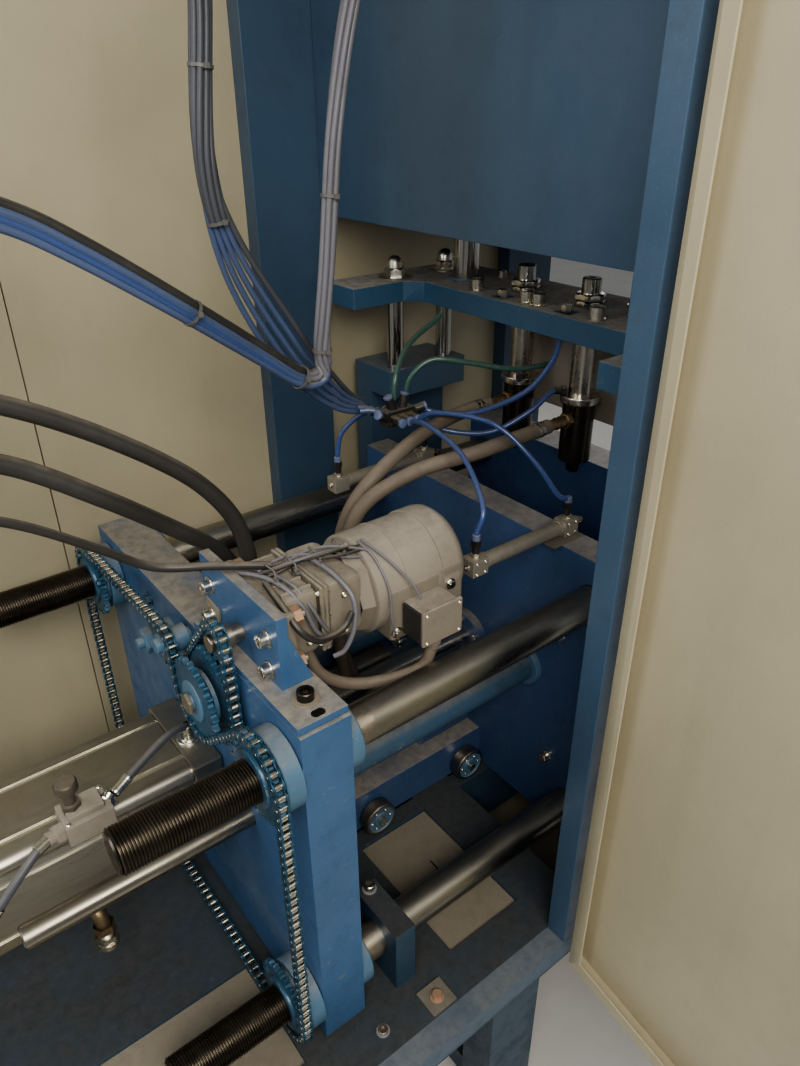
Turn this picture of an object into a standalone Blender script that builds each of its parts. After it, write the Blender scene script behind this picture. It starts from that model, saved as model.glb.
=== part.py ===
"""Clamping end of an extrusion blow moulding machine, in metres, +Z up.

Origin: middle of the base, on the floor. +X runs along the tie bars from the clamp cylinder to the
blow pins, -Y is the operator's side. The rear platen is drawn in by four tie bar nuts that one
roller chain turns together, a second short chain joins them to the gear motor, and the clamp
cylinder pushes the moving platen along the tie bars.
"""

import math

import bmesh
import bpy
from mathutils import Matrix, Vector

# Fits
GAP = 0.0003
SLIDE = 0.0006

# Base
BASE_HALF_X = 1.000
END_DECK_L = 0.100
DECK_Z = 0.500
RAIL_OUT_Y = 0.431
RAIL_W = 0.073
BEAM_H = 0.150
BASE_CLEAR_Z = 0.060
FOOT = 0.120
FRAME_TUBE = 0.040
ENCLOSURE_Z = 2.200
HOSE_RAIL_Z = 1.555
PIT_PLATE_Z = 0.492  # top of the plates that close the pits between the rails
TRAY_Z = 0.300
TRAY_LIP = 0.030
SHEET = 0.003

# Clamp unit
TIE_Y = 0.300
TIE_LOW_Z = 0.583
TIE_HIGH_Z = 1.061
TIE_R = 0.030
TIE_START_X = -0.586
TIE_NUT_R = 0.045
TIE_NUT_L = 0.040
PLATEN_Y = 0.350
PLATEN_TOP_Z = 1.1375
PLATEN_UNDER_Z = 0.506
PLATEN_T = 0.075
REAR_X = -0.358
PORT_BLOCK_TOP_Z = 1.070  # top of the hydraulic port block on the rear platen
MOVING_X = 0.245
FRONT_X = 0.557
FRONT_T = 0.080
MID_Z = (TIE_LOW_Z + TIE_HIGH_Z) / 2
GUIDE_Y = 0.165
GUIDE_RISE = 0.026  # near rod above the cylinder's axis and far rod as much below it
GUIDE_Z = {-1: MID_Z + GUIDE_RISE, 1: MID_Z - GUIDE_RISE}
GUIDE_R = 0.0175
GUIDE_START_X = -0.696
SLEEVE_R = 0.030
SLEEVE_START_X = -0.210

# Clamp cylinder
BORE_R = 0.080
BARREL_HALF = 0.088
BARREL_L = 0.450
CAP_L = 0.050
PISTON_R_GAP = 0.0008
PISTON_L = 0.040
PISTON_FRONT_GAP = 0.095
ROD_R = 0.025

# Chains
PITCH = 0.015875
PLATE_H = 0.0150
WAIST_H = 0.0110
PLATE_T = 0.0030
CHAIN_INNER = 0.0097
MAIN_CHAIN_X = -0.397
DRIVE_CHAIN_X = -0.372
SPROCKET_T = 0.0090
NUT_TEETH = 24
IDLER_TEETH = 12
DRIVEN_TEETH = 28
MOTOR_TEETH = 10
NUT_R = 0.058
CENTRAL_Y = -0.125
CENTRAL_Z = 1.070
IDLER_Y = -0.028
IDLER_Z = 1.112
STUB_R = 0.012

# Gear motor
MOTOR_Y = -0.165
MOTOR_Z = 1.184
BRACKET_X = -0.335
BRACKET_T = 0.016
BRACKET_FOOT_T = 0.012
BRACKET_TOP_Z = 1.259
BRACKET_NEAR_Y = -0.271
BRACKET_FAR_Y = -0.055
SHAFT_R = 0.0125
REDUCER_L = 0.160
MOTOR_L = 0.170
MOTOR_R = 0.078

# Blow pin carriage
PIN_X = 0.431
PIN_Y = 0.078
LIFT_Y = 0.247
LIFT_R = 0.026
CARRIAGE_TOP_Z = 1.490
CARRIAGE_T = 0.040
CARRIAGE_FRONT_X = 0.340
CARRIAGE_BACK_X = 0.540
WING_X = 0.189
WING_IN_Y = 0.300
CARRIAGE_Y = 0.400
GUIDE_COLUMN_Y = 0.343
GUIDE_COLUMN_X = (0.322, 0.457)
GUIDE_COLUMN_R = 0.0175
GUIDE_COLUMN_FOOT_Z = 1.243
BUSH_TOP_Z = 1.303
BUSH_R = GUIDE_COLUMN_R + SLIDE

# Tower
COLUMN_X = 0.063
BACK_COLUMN_X = 0.740
COLUMN_D = 0.150
COLUMN_W = 0.040
HEAD_X = 0.207
HEAD_Z = 1.612
HEAD_H = 0.606
HEAD_TOP_Z = HEAD_Z + HEAD_H
TOWER_Z = HEAD_TOP_Z + 0.082
HEAD_WALL = 0.006

# Doors
DOOR_W = 0.530
DOOR_D = 0.030
DOOR_LOW_Z = 0.470
DOOR_TOP_Z = 2.190
DOOR_OPEN_DEG = 83.0
DOOR_PIVOT = (0.075, -0.4875)
DOOR_LIP = 0.025

# Small cylinders on the moving platen
SMALL_Y = 0.197
SMALL_Z = 1.153
SMALL_X = 0.050
SMALL_L = 0.250
SMALL_R = 0.0130
SMALL_BLOCK = 0.030

# Support rollers
ROLLER_R = 0.036
ROLLER_X = (-0.046, 0.195)
ROLLER_IN_Y = 0.052
ROLLER_W = 0.026
AXLE_R = 0.008
BEAM_HALF_Y = 0.048

# Sides of a turned shape, by how large it is
SIDES_BIG = 22
SIDES_BAR = 18
SIDES_MID = 16
SIDES_ROD = 14
SIDES_SMALL = 10
SIDES_TINY = 8

BLUE = (0.045, 0.16, 0.36)
CREAM = (0.62, 0.58, 0.46)
STEEL = (0.42, 0.41, 0.38)
DARK = (0.05, 0.05, 0.05)
GREY = (0.33, 0.32, 0.29)
SILVER = (0.60, 0.59, 0.55)
TUBE_BLUE = (0.05, 0.12, 0.45)


def clear_scene():
    for obj in list(bpy.data.objects):
        bpy.data.objects.remove(obj, do_unlink=True)


def material(name, color, roughness, metallic):
    made = bpy.data.materials.get(name)
    if made is None:
        made = bpy.data.materials.new(name)
        made.use_nodes = True
        shader = made.node_tree.nodes["Principled BSDF"]
        shader.inputs["Base Color"].default_value = (*color, 1)
        shader.inputs["Roughness"].default_value = roughness
        shader.inputs["Metallic"].default_value = metallic
    return made


FINISHES = {
    "blue": (BLUE, 0.45, 0.0),
    "cream": (CREAM, 0.5, 0.0),
    "steel": (STEEL, 0.3, 1.0),
    "dark_steel": ((0.12, 0.11, 0.10), 0.4, 1.0),
    "rubber": (DARK, 0.6, 0.0),
    "grey": (GREY, 0.6, 0.0),
    "alloy": (SILVER, 0.35, 1.0),
    "tube_blue": (TUBE_BLUE, 0.3, 0.0),
    "hose_grey": ((0.30, 0.27, 0.23), 0.6, 0.0),
    "tray": ((0.36, 0.33, 0.28), 0.8, 0.0),
}


def finish(name):
    return material(name, *FINISHES[name])


def add_object(name, mesh_data, finish_name, smooth=True, origin=(0.0, 0.0, 0.0), turn=0.0):
    """Puts the shape in the scene with its origin at a point of the joint's axis, turned about it."""
    mesh = bpy.data.meshes.new(name)
    bmesh.ops.translate(mesh_data, vec=-Vector(origin), verts=mesh_data.verts)
    bmesh.ops.recalc_face_normals(mesh_data, faces=mesh_data.faces)
    mesh_data.to_mesh(mesh)
    mesh_data.free()
    if smooth:
        mesh.shade_smooth()
        mesh.set_sharp_from_angle(angle=math.radians(35))
    obj = bpy.data.objects.new(name, mesh)
    obj.location = origin
    obj.rotation_euler.z = math.radians(turn)
    bpy.context.scene.collection.objects.link(obj)
    if finish_name:
        mesh.materials.append(finish(finish_name))
    return obj


def box(low, high):
    """A block between two corners."""
    made = bmesh.new()
    bmesh.ops.create_cube(made, size=1.0)
    low, high = Vector(low), Vector(high)
    size = high - low
    for vert in made.verts:
        vert.co = Vector(c * s for c, s in zip(vert.co, size)) + (low + high) / 2
    return made


AXIS_TURN = {
    "X": Matrix(((0, 0, 1), (1, 0, 0), (0, 1, 0))),
    "Y": Matrix(((1, 0, 0), (0, 0, 1), (0, 1, 0))),
    "Z": Matrix.Identity(3),
}


def lathe(axis, centre, profile, segments=14):
    """Turns (along, radius) points about an axis. centre gives the other two coordinates in order."""
    made = bmesh.new()
    rings = []
    for along, radius in profile:
        ring = []
        count = segments if radius > 0 else 1
        for index in range(count):
            angle = 2 * math.pi * index / segments
            flat = Vector((radius * math.cos(angle), radius * math.sin(angle), along))
            flat += Vector((centre[0], centre[1], 0))
            ring.append(made.verts.new(AXIS_TURN[axis] @ flat))
        rings.append(ring)
    for low, high in zip(rings[:-1], rings[1:]):
        for index in range(segments):
            after = (index + 1) % segments
            corners = [low[index % len(low)], low[after % len(low)]]
            corners += [high[after % len(high)], high[index % len(high)]]
            unique = list(dict.fromkeys(corners))
            if len(unique) > 2:
                made.faces.new(unique)
    for ring in (rings[0], rings[-1]):
        if len(ring) > 1:
            made.faces.new(ring)
    return made


def clear_of(radius, sides, clearance=GAP):
    """The corner radius of a bore's polygon whose flats stay clear of a turning shaft."""
    return (radius + clearance) / math.cos(math.pi / sides)


def rod(axis, centre, start, end, radius, segments=14):
    return lathe(axis, centre, ((start, radius), (end, radius)), segments)


def prism(outline, axis, start, end):
    """Extrudes a flat outline, given in the axis' other two coordinates in order, along the axis."""
    made = bmesh.new()
    rings = [
        [made.verts.new(AXIS_TURN[axis] @ Vector((u, v, along))) for u, v in outline]
        for along in (start, end)
    ]
    for ring in rings:
        made.faces.new(ring)
    count = len(outline)
    for index in range(count):
        after = (index + 1) % count
        made.faces.new((rings[0][index], rings[0][after], rings[1][after], rings[1][index]))
    return made


def join_and_cut(name, finish_name, solids, cuts=(), origin=(0.0, 0.0, 0.0), turn=0.0):
    """One closed body: the first solid joined with the others, less the cuts."""
    body = add_object(name, solids[0], finish_name, True, origin, turn)
    for operation, tools in (("UNION", solids[1:]), ("DIFFERENCE", cuts)):
        for number, tool in enumerate(tools):
            helper = add_object(f"{name}_{operation.lower()}_{number}", tool, None, False, origin, turn)
            helper.hide_render = True
            helper.display_type = "WIRE"
            modifier = body.modifiers.new(helper.name, "BOOLEAN")
            modifier.operation = operation
            modifier.object = helper
    return body


def pitch_radius(teeth):
    return PITCH / (2 * math.sin(math.pi / teeth))


def toothed_outline(teeth, centre, turn=0.0):
    """Teeth whose tips stay just inside the chain's band at any turn."""
    tip = pitch_radius(teeth) - PLATE_H / 2 - 0.0008
    root = tip - 0.0045
    points = []
    for tooth in range(teeth):
        for part, radius in ((0.0, tip), (0.5, root)):
            angle = turn + 2 * math.pi * (tooth + part) / teeth
            points.append((centre[0] + radius * math.cos(angle), centre[1] + radius * math.sin(angle)))
    return points


def toothed_disc(teeth, centre, plane_x):
    return prism(toothed_outline(teeth, centre), "X", plane_x - SPROCKET_T / 2, plane_x + SPROCKET_T / 2)


def belt_path(pulleys):
    """Straight runs and arcs of a loop round (y, z, radius, turn) pulleys, turn +1 or -1."""
    pieces = []
    normals = []
    for (y1, z1, r1, s1), (y2, z2, r2, s2) in zip(pulleys, pulleys[1:] + pulleys[:1]):
        along = Vector((y2 - y1, z2 - z1))
        beta = math.acos((s1 * r1 - s2 * r2) / along.length)
        normals.append(math.atan2(along.y, along.x) - beta)
    for index, (y, z, radius, sense) in enumerate(pulleys):
        into, out = normals[index - 1], normals[index]
        sweep = (out - into) % (2 * math.pi) if sense > 0 else -((into - out) % (2 * math.pi))
        flip = 0 if sense > 0 else math.pi
        pieces.append(("arc", Vector((y, z)), radius, into + flip, sweep))
        after = pulleys[(index + 1) % len(pulleys)]
        normal = Vector((math.cos(out), math.sin(out)))
        start = Vector((y, z)) + normal * radius * sense
        end = Vector(after[:2]) + normal * after[2] * after[3]
        pieces.append(("run", start, end, normal))
    return pieces


def belt_length(pieces):
    return sum(abs(p[4]) * p[2] if p[0] == "arc" else (p[2] - p[1]).length for p in pieces)


def belt_point(pieces, distance):
    """(point, outward normal) at a distance along the loop."""
    for piece in pieces:
        if piece[0] == "arc":
            _, centre, radius, start, sweep = piece
            length = abs(sweep) * radius
            if distance <= length:
                angle = start + sweep * distance / length
                outward = Vector((math.cos(angle), math.sin(angle)))
                return centre + outward * radius, outward * (1 if sweep > 0 else -1)
        else:
            _, start, end, normal = piece
            length = (end - start).length
            if distance <= length:
                return start.lerp(end, distance / length), normal
        distance -= length
    return belt_point(pieces, 0.0)


def chain(name, pulleys, plane_x):
    """A roller chain loop as one band, waisted between its pins as the side plates are."""
    pieces = belt_path(pulleys)
    length = belt_length(pieces)
    links = round(length / PITCH)
    half_width = CHAIN_INNER / 2 + PLATE_T
    made = bmesh.new()
    rings = []
    for link in range(2 * links):
        point, normal = belt_point(pieces, link / (2 * links) * length)
        height = PLATE_H / 2 if link % 2 == 0 else WAIST_H / 2
        ring = []
        for side, way in ((-1, -1), (1, -1), (1, 1), (-1, 1)):
            flat = point + normal * way * height
            ring.append(made.verts.new((plane_x + side * half_width, flat.x, flat.y)))
        rings.append(ring)
    for index, ring in enumerate(rings):
        after = rings[(index + 1) % len(rings)]
        for corner in range(4):
            beside = (corner + 1) % 4
            made.faces.new((ring[corner], ring[beside], after[beside], after[corner]))
    return add_object(name, made, "dark_steel", smooth=False)


def smooth_route(points, spacing):
    """Points at even spacing on a smooth curve through the given ones."""
    points = [Vector(p) for p in points]
    ends = [2 * points[0] - points[1]] + points + [2 * points[-1] - points[-2]]
    fine = []
    for a, b, c, d in zip(ends, ends[1:], ends[2:], ends[3:]):
        for step in range(24):
            t = step / 24
            curve = (2 * a - 5 * b + 4 * c - d) * t * t + (3 * b - a - 3 * c + d) * t ** 3
            fine.append(0.5 * (2 * b + (c - a) * t + curve))
    fine.append(points[-1])
    total = sum((q - p).length for p, q in zip(fine, fine[1:]))
    count = max(2, round(total / spacing))
    placed, walked, index = [fine[0]], 0.0, 0
    for number in range(1, count):
        target = total * number / count
        while walked + (fine[index + 1] - fine[index]).length < target:
            walked += (fine[index + 1] - fine[index]).length
            index += 1
        step = (fine[index + 1] - fine[index]).length
        placed.append(fine[index].lerp(fine[index + 1], (target - walked) / step))
    placed.append(fine[-1])
    return placed


def hose(name, points, radius, finish_name, spacing_diameters=3.6):
    curve = bpy.data.curves.new(name, "CURVE")
    curve.dimensions = "3D"
    curve.bevel_depth = radius
    curve.bevel_resolution = 2
    curve.use_fill_caps = True
    route = smooth_route(points, 2 * radius * spacing_diameters)
    spline = curve.splines.new("POLY")
    spline.points.add(len(route) - 1)
    for target, point in zip(spline.points, route):
        target.co = (*point, 1)
    obj = bpy.data.objects.new(name, curve)
    bpy.context.scene.collection.objects.link(obj)
    curve.materials.append(finish(finish_name))
    return obj


def base_frame():
    rail_in = RAIL_OUT_Y - RAIL_W
    low = DECK_Z - BEAM_H
    rails = [
        box((-BASE_HALF_X, side - RAIL_W / 2, low), (BASE_HALF_X, side + RAIL_W / 2, DECK_Z))
        for side in (-RAIL_OUT_Y + RAIL_W / 2, RAIL_OUT_Y - RAIL_W / 2)
    ]
    lap = 0.010
    end_x = -BASE_HALF_X + END_DECK_L
    spans = ((-BASE_HALF_X, end_x), (-0.402, -0.103), (0.060, 0.160), (0.480, BASE_HALF_X))
    decks = [box((a, -rail_in - lap, low), (b, rail_in + lap, DECK_Z)) for a, b in spans]
    spine = box((end_x - 0.005, -0.160, low), (-0.397, 0.160, DECK_Z))
    tracks = [
        box((-0.108, side - 0.018, low), (0.485, side + 0.018, DECK_Z))
        for side in (-ROLLER_IN_Y - ROLLER_W / 2, ROLLER_IN_Y + ROLLER_W / 2)
    ]
    track_out = ROLLER_IN_Y + ROLLER_W / 2 + 0.018
    seat = 0.005
    plates = []
    for (start, end), inner in (((end_x, spans[1][0]), 0.160), ((spans[1][1], spans[2][0]), track_out)):
        for side in (-1, 1):
            low_y, high_y = sorted((side * (inner - seat), side * (rail_in + seat)))
            plates.append(box((start - seat, low_y, PIT_PLATE_Z - SHEET), (end + seat, high_y, PIT_PLATE_Z)))
    legs = []
    leg_x = (-BASE_HALF_X + FOOT / 2, 0.0, BASE_HALF_X - FOOT / 2)
    for x in leg_x:
        for side in (-1, 1):
            y = side * (RAIL_OUT_Y - RAIL_W / 2)
            half = RAIL_W / 2
            legs.append(box((x - FOOT / 2, y - half, 0.0), (x + FOOT / 2, y + half, low + lap)))
        legs.append(box((x - 0.040, -rail_in - lap, 0.0), (x + 0.040, rail_in + lap, BASE_CLEAR_Z)))
    wall = 0.010
    pockets = [
        box((a + wall, -rail_in + wall, low - 0.01), (b - wall, rail_in - wall, DECK_Z - wall))
        for a, b in (spans[0], spans[1], spans[3])
    ]
    pockets.append(box((end_x + 0.010, -0.150, low - 0.01), (-0.412, 0.150, DECK_Z - wall)))
    solids = rails + decks + [spine] + tracks + plates + legs
    for side in (-1, 1):
        support, hole = bar_support(side)
        solids += support
        pockets.append(hole)
    return join_and_cut("base_frame", "blue", solids, pockets)


def drip_tray():
    inner = RAIL_OUT_Y - RAIL_W - 0.004
    start, end = -BASE_HALF_X + END_DECK_L + 0.010, 0.470
    outer = box((start, -inner, TRAY_Z - SHEET), (end, inner, TRAY_Z + TRAY_LIP))
    hollow = box((start + SHEET, -inner + SHEET, TRAY_Z), (end - SHEET, inner - SHEET, TRAY_Z + 0.1))
    return join_and_cut("drip_tray", "tray", [outer], [hollow])


def enclosure_frame():
    solids = []
    out = RAIL_OUT_Y + FRAME_TUBE
    gap_y = RAIL_OUT_Y + GAP
    for side in (-1, 1):
        low_y, high_y = sorted((side * gap_y, side * out))
        start_x = -BASE_HALF_X - FRAME_TUBE
        solids.append(box((start_x, low_y, DECK_Z - FRAME_TUBE), (BASE_HALF_X, high_y, DECK_Z)))
        post_top = (-BASE_HALF_X + FRAME_TUBE, high_y, ENCLOSURE_Z)
        solids.append(box((-BASE_HALF_X, low_y, DECK_Z - 0.01), post_top))
        top = ENCLOSURE_Z - FRAME_TUBE
        solids.append(box((-BASE_HALF_X, low_y, top), (COLUMN_X - GAP, high_y, ENCLOSURE_Z)))
    end_x = -BASE_HALF_X + FRAME_TUBE
    solids.append(box((-BASE_HALF_X, -out, ENCLOSURE_Z - FRAME_TUBE), (end_x, out, ENCLOSURE_Z)))
    solids.append(box((-BASE_HALF_X, -out, HOSE_RAIL_Z), (end_x, out, HOSE_RAIL_Z + 0.100)))
    sill_low = (-BASE_HALF_X - FRAME_TUBE, -out, DECK_Z - FRAME_TUBE)
    solids.append(box(sill_low, (-BASE_HALF_X - GAP, out, DECK_Z)))
    return join_and_cut("enclosure_frame", "blue", solids)


def tower_frame():
    """Four hollow columns tied across the top, with the brackets that guide the pin carriage."""
    solids = []
    hollows = []
    wall = 0.005
    for side in (-1, 1):
        low_y, high_y = sorted((side * (RAIL_OUT_Y + GAP), side * (RAIL_OUT_Y + COLUMN_W)))
        for x in (COLUMN_X, BACK_COLUMN_X):
            solids.append(box((x, low_y, DECK_Z + GAP), (x + COLUMN_D, high_y, TOWER_Z)))
            hollow_top = (x + COLUMN_D - wall, high_y - wall, TOWER_Z - 0.1)
            hollows.append(box((x + wall, low_y + wall, DECK_Z - 0.01), hollow_top))
        beam_low, beam_high = sorted((side * (RAIL_OUT_Y + 0.004), side * (RAIL_OUT_Y + COLUMN_W - 0.004)))
        beam_x = COLUMN_X + COLUMN_D - 0.010
        beam_end = (BACK_COLUMN_X + 0.010, beam_high, TOWER_Z - 0.002)
        solids.append(box((beam_x, beam_low, TOWER_Z - 0.078), beam_end))
        solids += bush_bracket(side)
    reach = RAIL_OUT_Y + 0.020
    for x in (COLUMN_X + 0.020, BACK_COLUMN_X + 0.095):
        solids.append(box((x, -reach, TOWER_Z - 0.080), (x + 0.035, reach, TOWER_Z)))
    for side in (-1, 1):
        for x in GUIDE_COLUMN_X:
            low, high = GUIDE_COLUMN_FOOT_Z - 0.01, BUSH_TOP_Z + 0.01
            hollows.append(rod("Z", (x, side * GUIDE_COLUMN_Y), low, high, BUSH_R, SIDES_SMALL))
    return join_and_cut("tower_frame", "blue", solids, hollows)


def bush_bracket(side):
    """A shelf that the pin carriage's columns slide in, on a plate across the two columns of one side."""
    def piece(x0, x1, y0, y1, z0, z1):
        low_y, high_y = sorted((side * y0, side * y1))
        return box((x0, low_y, z0), (x1, high_y, z1))

    plate_y = RAIL_OUT_Y + 0.012
    return [
        piece(0.285, 0.495, 0.385, plate_y, DECK_Z + GAP, BUSH_TOP_Z),
        piece(0.285, 0.495, 0.312, 0.390, GUIDE_COLUMN_FOOT_Z, BUSH_TOP_Z),
        piece(COLUMN_X + COLUMN_D - 0.003, BACK_COLUMN_X + 0.003, RAIL_OUT_Y + GAP, plate_y, 0.560, 0.640),
    ]


def head_box():
    y = RAIL_OUT_Y - GAP
    back = BACK_COLUMN_X - GAP
    outer = box((HEAD_X, -y, HEAD_Z), (back, y, HEAD_TOP_Z))
    wall = HEAD_WALL
    top = HEAD_TOP_Z
    hollow = box((HEAD_X + wall, -y + wall, HEAD_Z + wall), (back - wall, y - wall, top - wall))
    lip = 0.028
    mouth = box((HEAD_X + lip, -y + lip, HEAD_Z - 0.01), (back - lip, y - lip, HEAD_Z + 0.1))
    return join_and_cut("head_box", "blue", [outer], [hollow, mouth])


def far_panel(name, low_x, high_x):
    inner_y = RAIL_OUT_Y + FRAME_TUBE + GAP
    outer = box((low_x, inner_y, DOOR_LOW_Z), (high_x, inner_y + DOOR_D, DOOR_TOP_Z))
    pocket = box(
        (low_x + SHEET, inner_y + SHEET, DOOR_LOW_Z + SHEET),
        (high_x - SHEET, inner_y + DOOR_D + 0.01, DOOR_TOP_Z - SHEET),
    )
    return join_and_cut(name, "cream", [outer], [pocket])


def door(name, pivot, way, open_deg):
    """A folded sheet leaf with lips on its inner side. way is the closed leaf's direction along X."""
    def leaf_box(u0, u1, v0, v1, z0, z1):
        low_x, high_x = sorted((pivot[0] + way * u0, pivot[0] + way * u1))
        return box((low_x, pivot[1] + v0, z0), (high_x, pivot[1] + v1, z1))

    half = DOOR_D / 2
    start = 0.003
    end = start + DOOR_W
    leaf = leaf_box(start, end, -half, half, DOOR_LOW_Z, DOOR_TOP_Z)
    cavity = leaf_box(
        start + SHEET, end - SHEET, -half + SHEET, half - SHEET, DOOR_LOW_Z + SHEET, DOOR_TOP_Z - SHEET
    )
    mouth = leaf_box(
        start + DOOR_LIP, end - DOOR_LIP, 0.0, half + 0.01, DOOR_LOW_Z + DOOR_LIP, DOOR_TOP_Z - DOOR_LIP
    )
    grip = leaf_box(end - 0.060, end - 0.035, -half - 0.045, -half - 0.030, 1.180, 1.420)
    posts = [
        leaf_box(end - 0.056, end - 0.039, -half - 0.040, -half + 0.001, z, z + 0.020)
        for z in (1.190, 1.390)
    ]
    origin = (pivot[0], pivot[1], DOOR_LOW_Z)
    return join_and_cut(name, "cream", [leaf, grip] + posts, [cavity, mouth], origin, -way * open_deg)


def tie_bar(name, y, z):
    """A bar with its fixed end nut, which is never undone, as one piece."""
    seat = FRONT_X + FRONT_T + GAP
    profile = (
        (TIE_START_X, 0.0),
        (TIE_START_X, TIE_R - 0.003),
        (TIE_START_X + 0.003, TIE_R),
        (seat + TIE_NUT_L + 0.010, TIE_R),
        (seat + TIE_NUT_L + 0.010, 0.0),
    )
    nut = hexagon("X", (y, z), seat, seat + TIE_NUT_L, TIE_NUT_R)
    return join_and_cut(name, "steel", [lathe("X", (y, z), profile, SIDES_BAR), nut])


def hexagon(axis, centre, start, end, flat_radius):
    return rod(axis, centre, start, end, flat_radius / math.cos(math.pi / 6), 6)


def platen(name, low_x, thick, extras=(), cuts=(), with_bars=SLIDE):
    body = box((low_x, -PLATEN_Y, PLATEN_UNDER_Z), (low_x + thick, PLATEN_Y, PLATEN_TOP_Z))
    holes = [
        rod("X", (y, z), low_x - 0.05, low_x + thick + 0.05, TIE_R + with_bars, SIDES_BAR)
        for y in (-TIE_Y, TIE_Y)
        for z in (TIE_LOW_Z, TIE_HIGH_Z)
    ]
    return join_and_cut(name, "blue", [body] + list(extras), holes + list(cuts))


def rear_platen():
    bosses = [
        rod("X", (y, z), REAR_X + PLATEN_T - 0.001, REAR_X + PLATEN_T + 0.022, 0.047, SIDES_MID)
        for y in (-TIE_Y, TIE_Y)
        for z in (TIE_LOW_Z, TIE_HIGH_Z)
    ]
    front = REAR_X + PLATEN_T
    bosses.append(box((front - 0.001, -0.068, 1.000), (front + 0.065, 0.044, PORT_BLOCK_TOP_Z)))
    cuts = [rod("X", (0.0, MID_Z), REAR_X - 0.01, front + 0.01, ROD_R + 0.003, SIDES_BIG)]
    for side, z in GUIDE_Z.items():
        cuts.append(rod("X", (side * GUIDE_Y, z), REAR_X - 0.01, front + 0.01, GUIDE_R + SLIDE, SIDES_ROD))
    for y, z in ((CENTRAL_Y, CENTRAL_Z), (IDLER_Y, IDLER_Z)):
        cuts.append(rod("X", (y, z), REAR_X - 0.01, REAR_X + 0.045, clear_of(STUB_R, SIDES_ROD), SIDES_ROD))
    return platen("rear_platen", REAR_X, PLATEN_T, bosses, cuts)


def moving_platen():
    back = MOVING_X - 0.001
    beam = box((-0.110, -BEAM_HALF_Y, 0.506), (back + 0.002, BEAM_HALF_Y, 0.596))
    web = prism([(0.100, 0.590), (back + 0.002, 0.590), (back + 0.002, 0.750)], "Y", -0.010, 0.010)
    cuts = []
    for x in ROLLER_X:
        centre = (x, DECK_Z + ROLLER_R + GAP)
        cuts.append(rod("Y", centre, -0.1, 0.1, clear_of(AXLE_R, SIDES_SMALL), SIDES_SMALL))
    cuts.append(rod("X", (0.0, MID_Z), MOVING_X - 0.01, MOVING_X + 0.030, ROD_R + GAP, SIDES_BIG))
    for side, z in GUIDE_Z.items():
        centre = (side * GUIDE_Y, z)
        cuts.append(rod("X", centre, MOVING_X - 0.01, MOVING_X + 0.030, GUIDE_R + GAP, SIDES_ROD))
    return platen("moving_platen", MOVING_X, 0.060, [beam, web], cuts)


def front_platen():
    foot = box((FRONT_X - 0.040, -PLATEN_Y + 0.03, DECK_Z + GAP), (FRONT_X + 0.160, PLATEN_Y - 0.03, 0.525))
    rib = [(FRONT_X + 0.079, 0.520), (FRONT_X + 0.160, 0.520), (FRONT_X + 0.079, 0.900)]
    ribs = [
        prism(rib, "Y", y - 0.01, y + 0.01)
        for y in (-0.180, 0.180)
    ]
    return platen("front_platen", FRONT_X, FRONT_T, [foot] + ribs, (), GAP)


def support_wheels(name, x):
    """Two wheels on the axle that turns in the beam."""
    centre = (x, DECK_Z + ROLLER_R + GAP)
    reach = ROLLER_IN_Y + ROLLER_W
    wheels = [rod("Y", centre, low, low + ROLLER_W, ROLLER_R, SIDES_MID) for low in (-reach, ROLLER_IN_Y)]
    axle = rod("Y", centre, -reach - 0.008, reach + 0.008, AXLE_R, SIDES_SMALL)
    return join_and_cut(name, "dark_steel", [axle] + wheels, (), (x, 0.0, DECK_Z + ROLLER_R + GAP))


def guide_rod(name, side):
    """The polished guide rod with the painted spacer tube that is shrunk on it."""
    profile = (
        (GUIDE_START_X, 0.0),
        (GUIDE_START_X, GUIDE_R - 0.002),
        (GUIDE_START_X + 0.002, GUIDE_R),
        (SLEEVE_START_X, GUIDE_R),
        (SLEEVE_START_X, SLEEVE_R),
        (MOVING_X - GAP, SLEEVE_R),
        (MOVING_X - GAP, GUIDE_R),
        (MOVING_X + 0.029, GUIDE_R),
        (MOVING_X + 0.029, 0.0),
    )
    return add_object(name, lathe("X", (side * GUIDE_Y, GUIDE_Z[side]), profile, SIDES_ROD), "steel")


def adjusting_nut(name, y, z):
    """A sprocket and the threaded collar that bears on the rear platen, in one piece."""
    teeth = toothed_disc(NUT_TEETH, (y, z), MAIN_CHAIN_X)
    neck = rod("X", (y, z), MAIN_CHAIN_X, REAR_X - 0.020, 0.0475, SIDES_BAR)
    collar = rod("X", (y, z), MAIN_CHAIN_X + 0.0125, REAR_X - GAP, NUT_R, SIDES_BAR)
    bore = rod("X", (y, z), -0.45, -0.30, clear_of(TIE_R, SIDES_BAR), SIDES_BAR)
    return join_and_cut(name, "blue", [teeth, neck, collar], [bore], (MAIN_CHAIN_X, y, z))


def sprocket_shaft(name, y, z, planes):
    solids = [toothed_disc(teeth, (y, z), plane) for teeth, plane in planes]
    solids.append(rod("X", (y, z), -0.412, REAR_X + 0.040, STUB_R, SIDES_ROD))
    solids.append(rod("X", (y, z), -0.404, -0.3635, 0.020, SIDES_ROD))
    return join_and_cut(name, "blue", solids, (), (MAIN_CHAIN_X, y, z))


def motor_sprocket():
    centre = (MOTOR_Y, MOTOR_Z)
    disc = toothed_disc(MOTOR_TEETH, centre, DRIVE_CHAIN_X)
    shaft = rod("X", centre, -0.384, BRACKET_X + BRACKET_T + 0.040, SHAFT_R, SIDES_MID)
    return join_and_cut("motor_sprocket", "dark_steel", [disc, shaft], (), (DRIVE_CHAIN_X, MOTOR_Y, MOTOR_Z))


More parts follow.
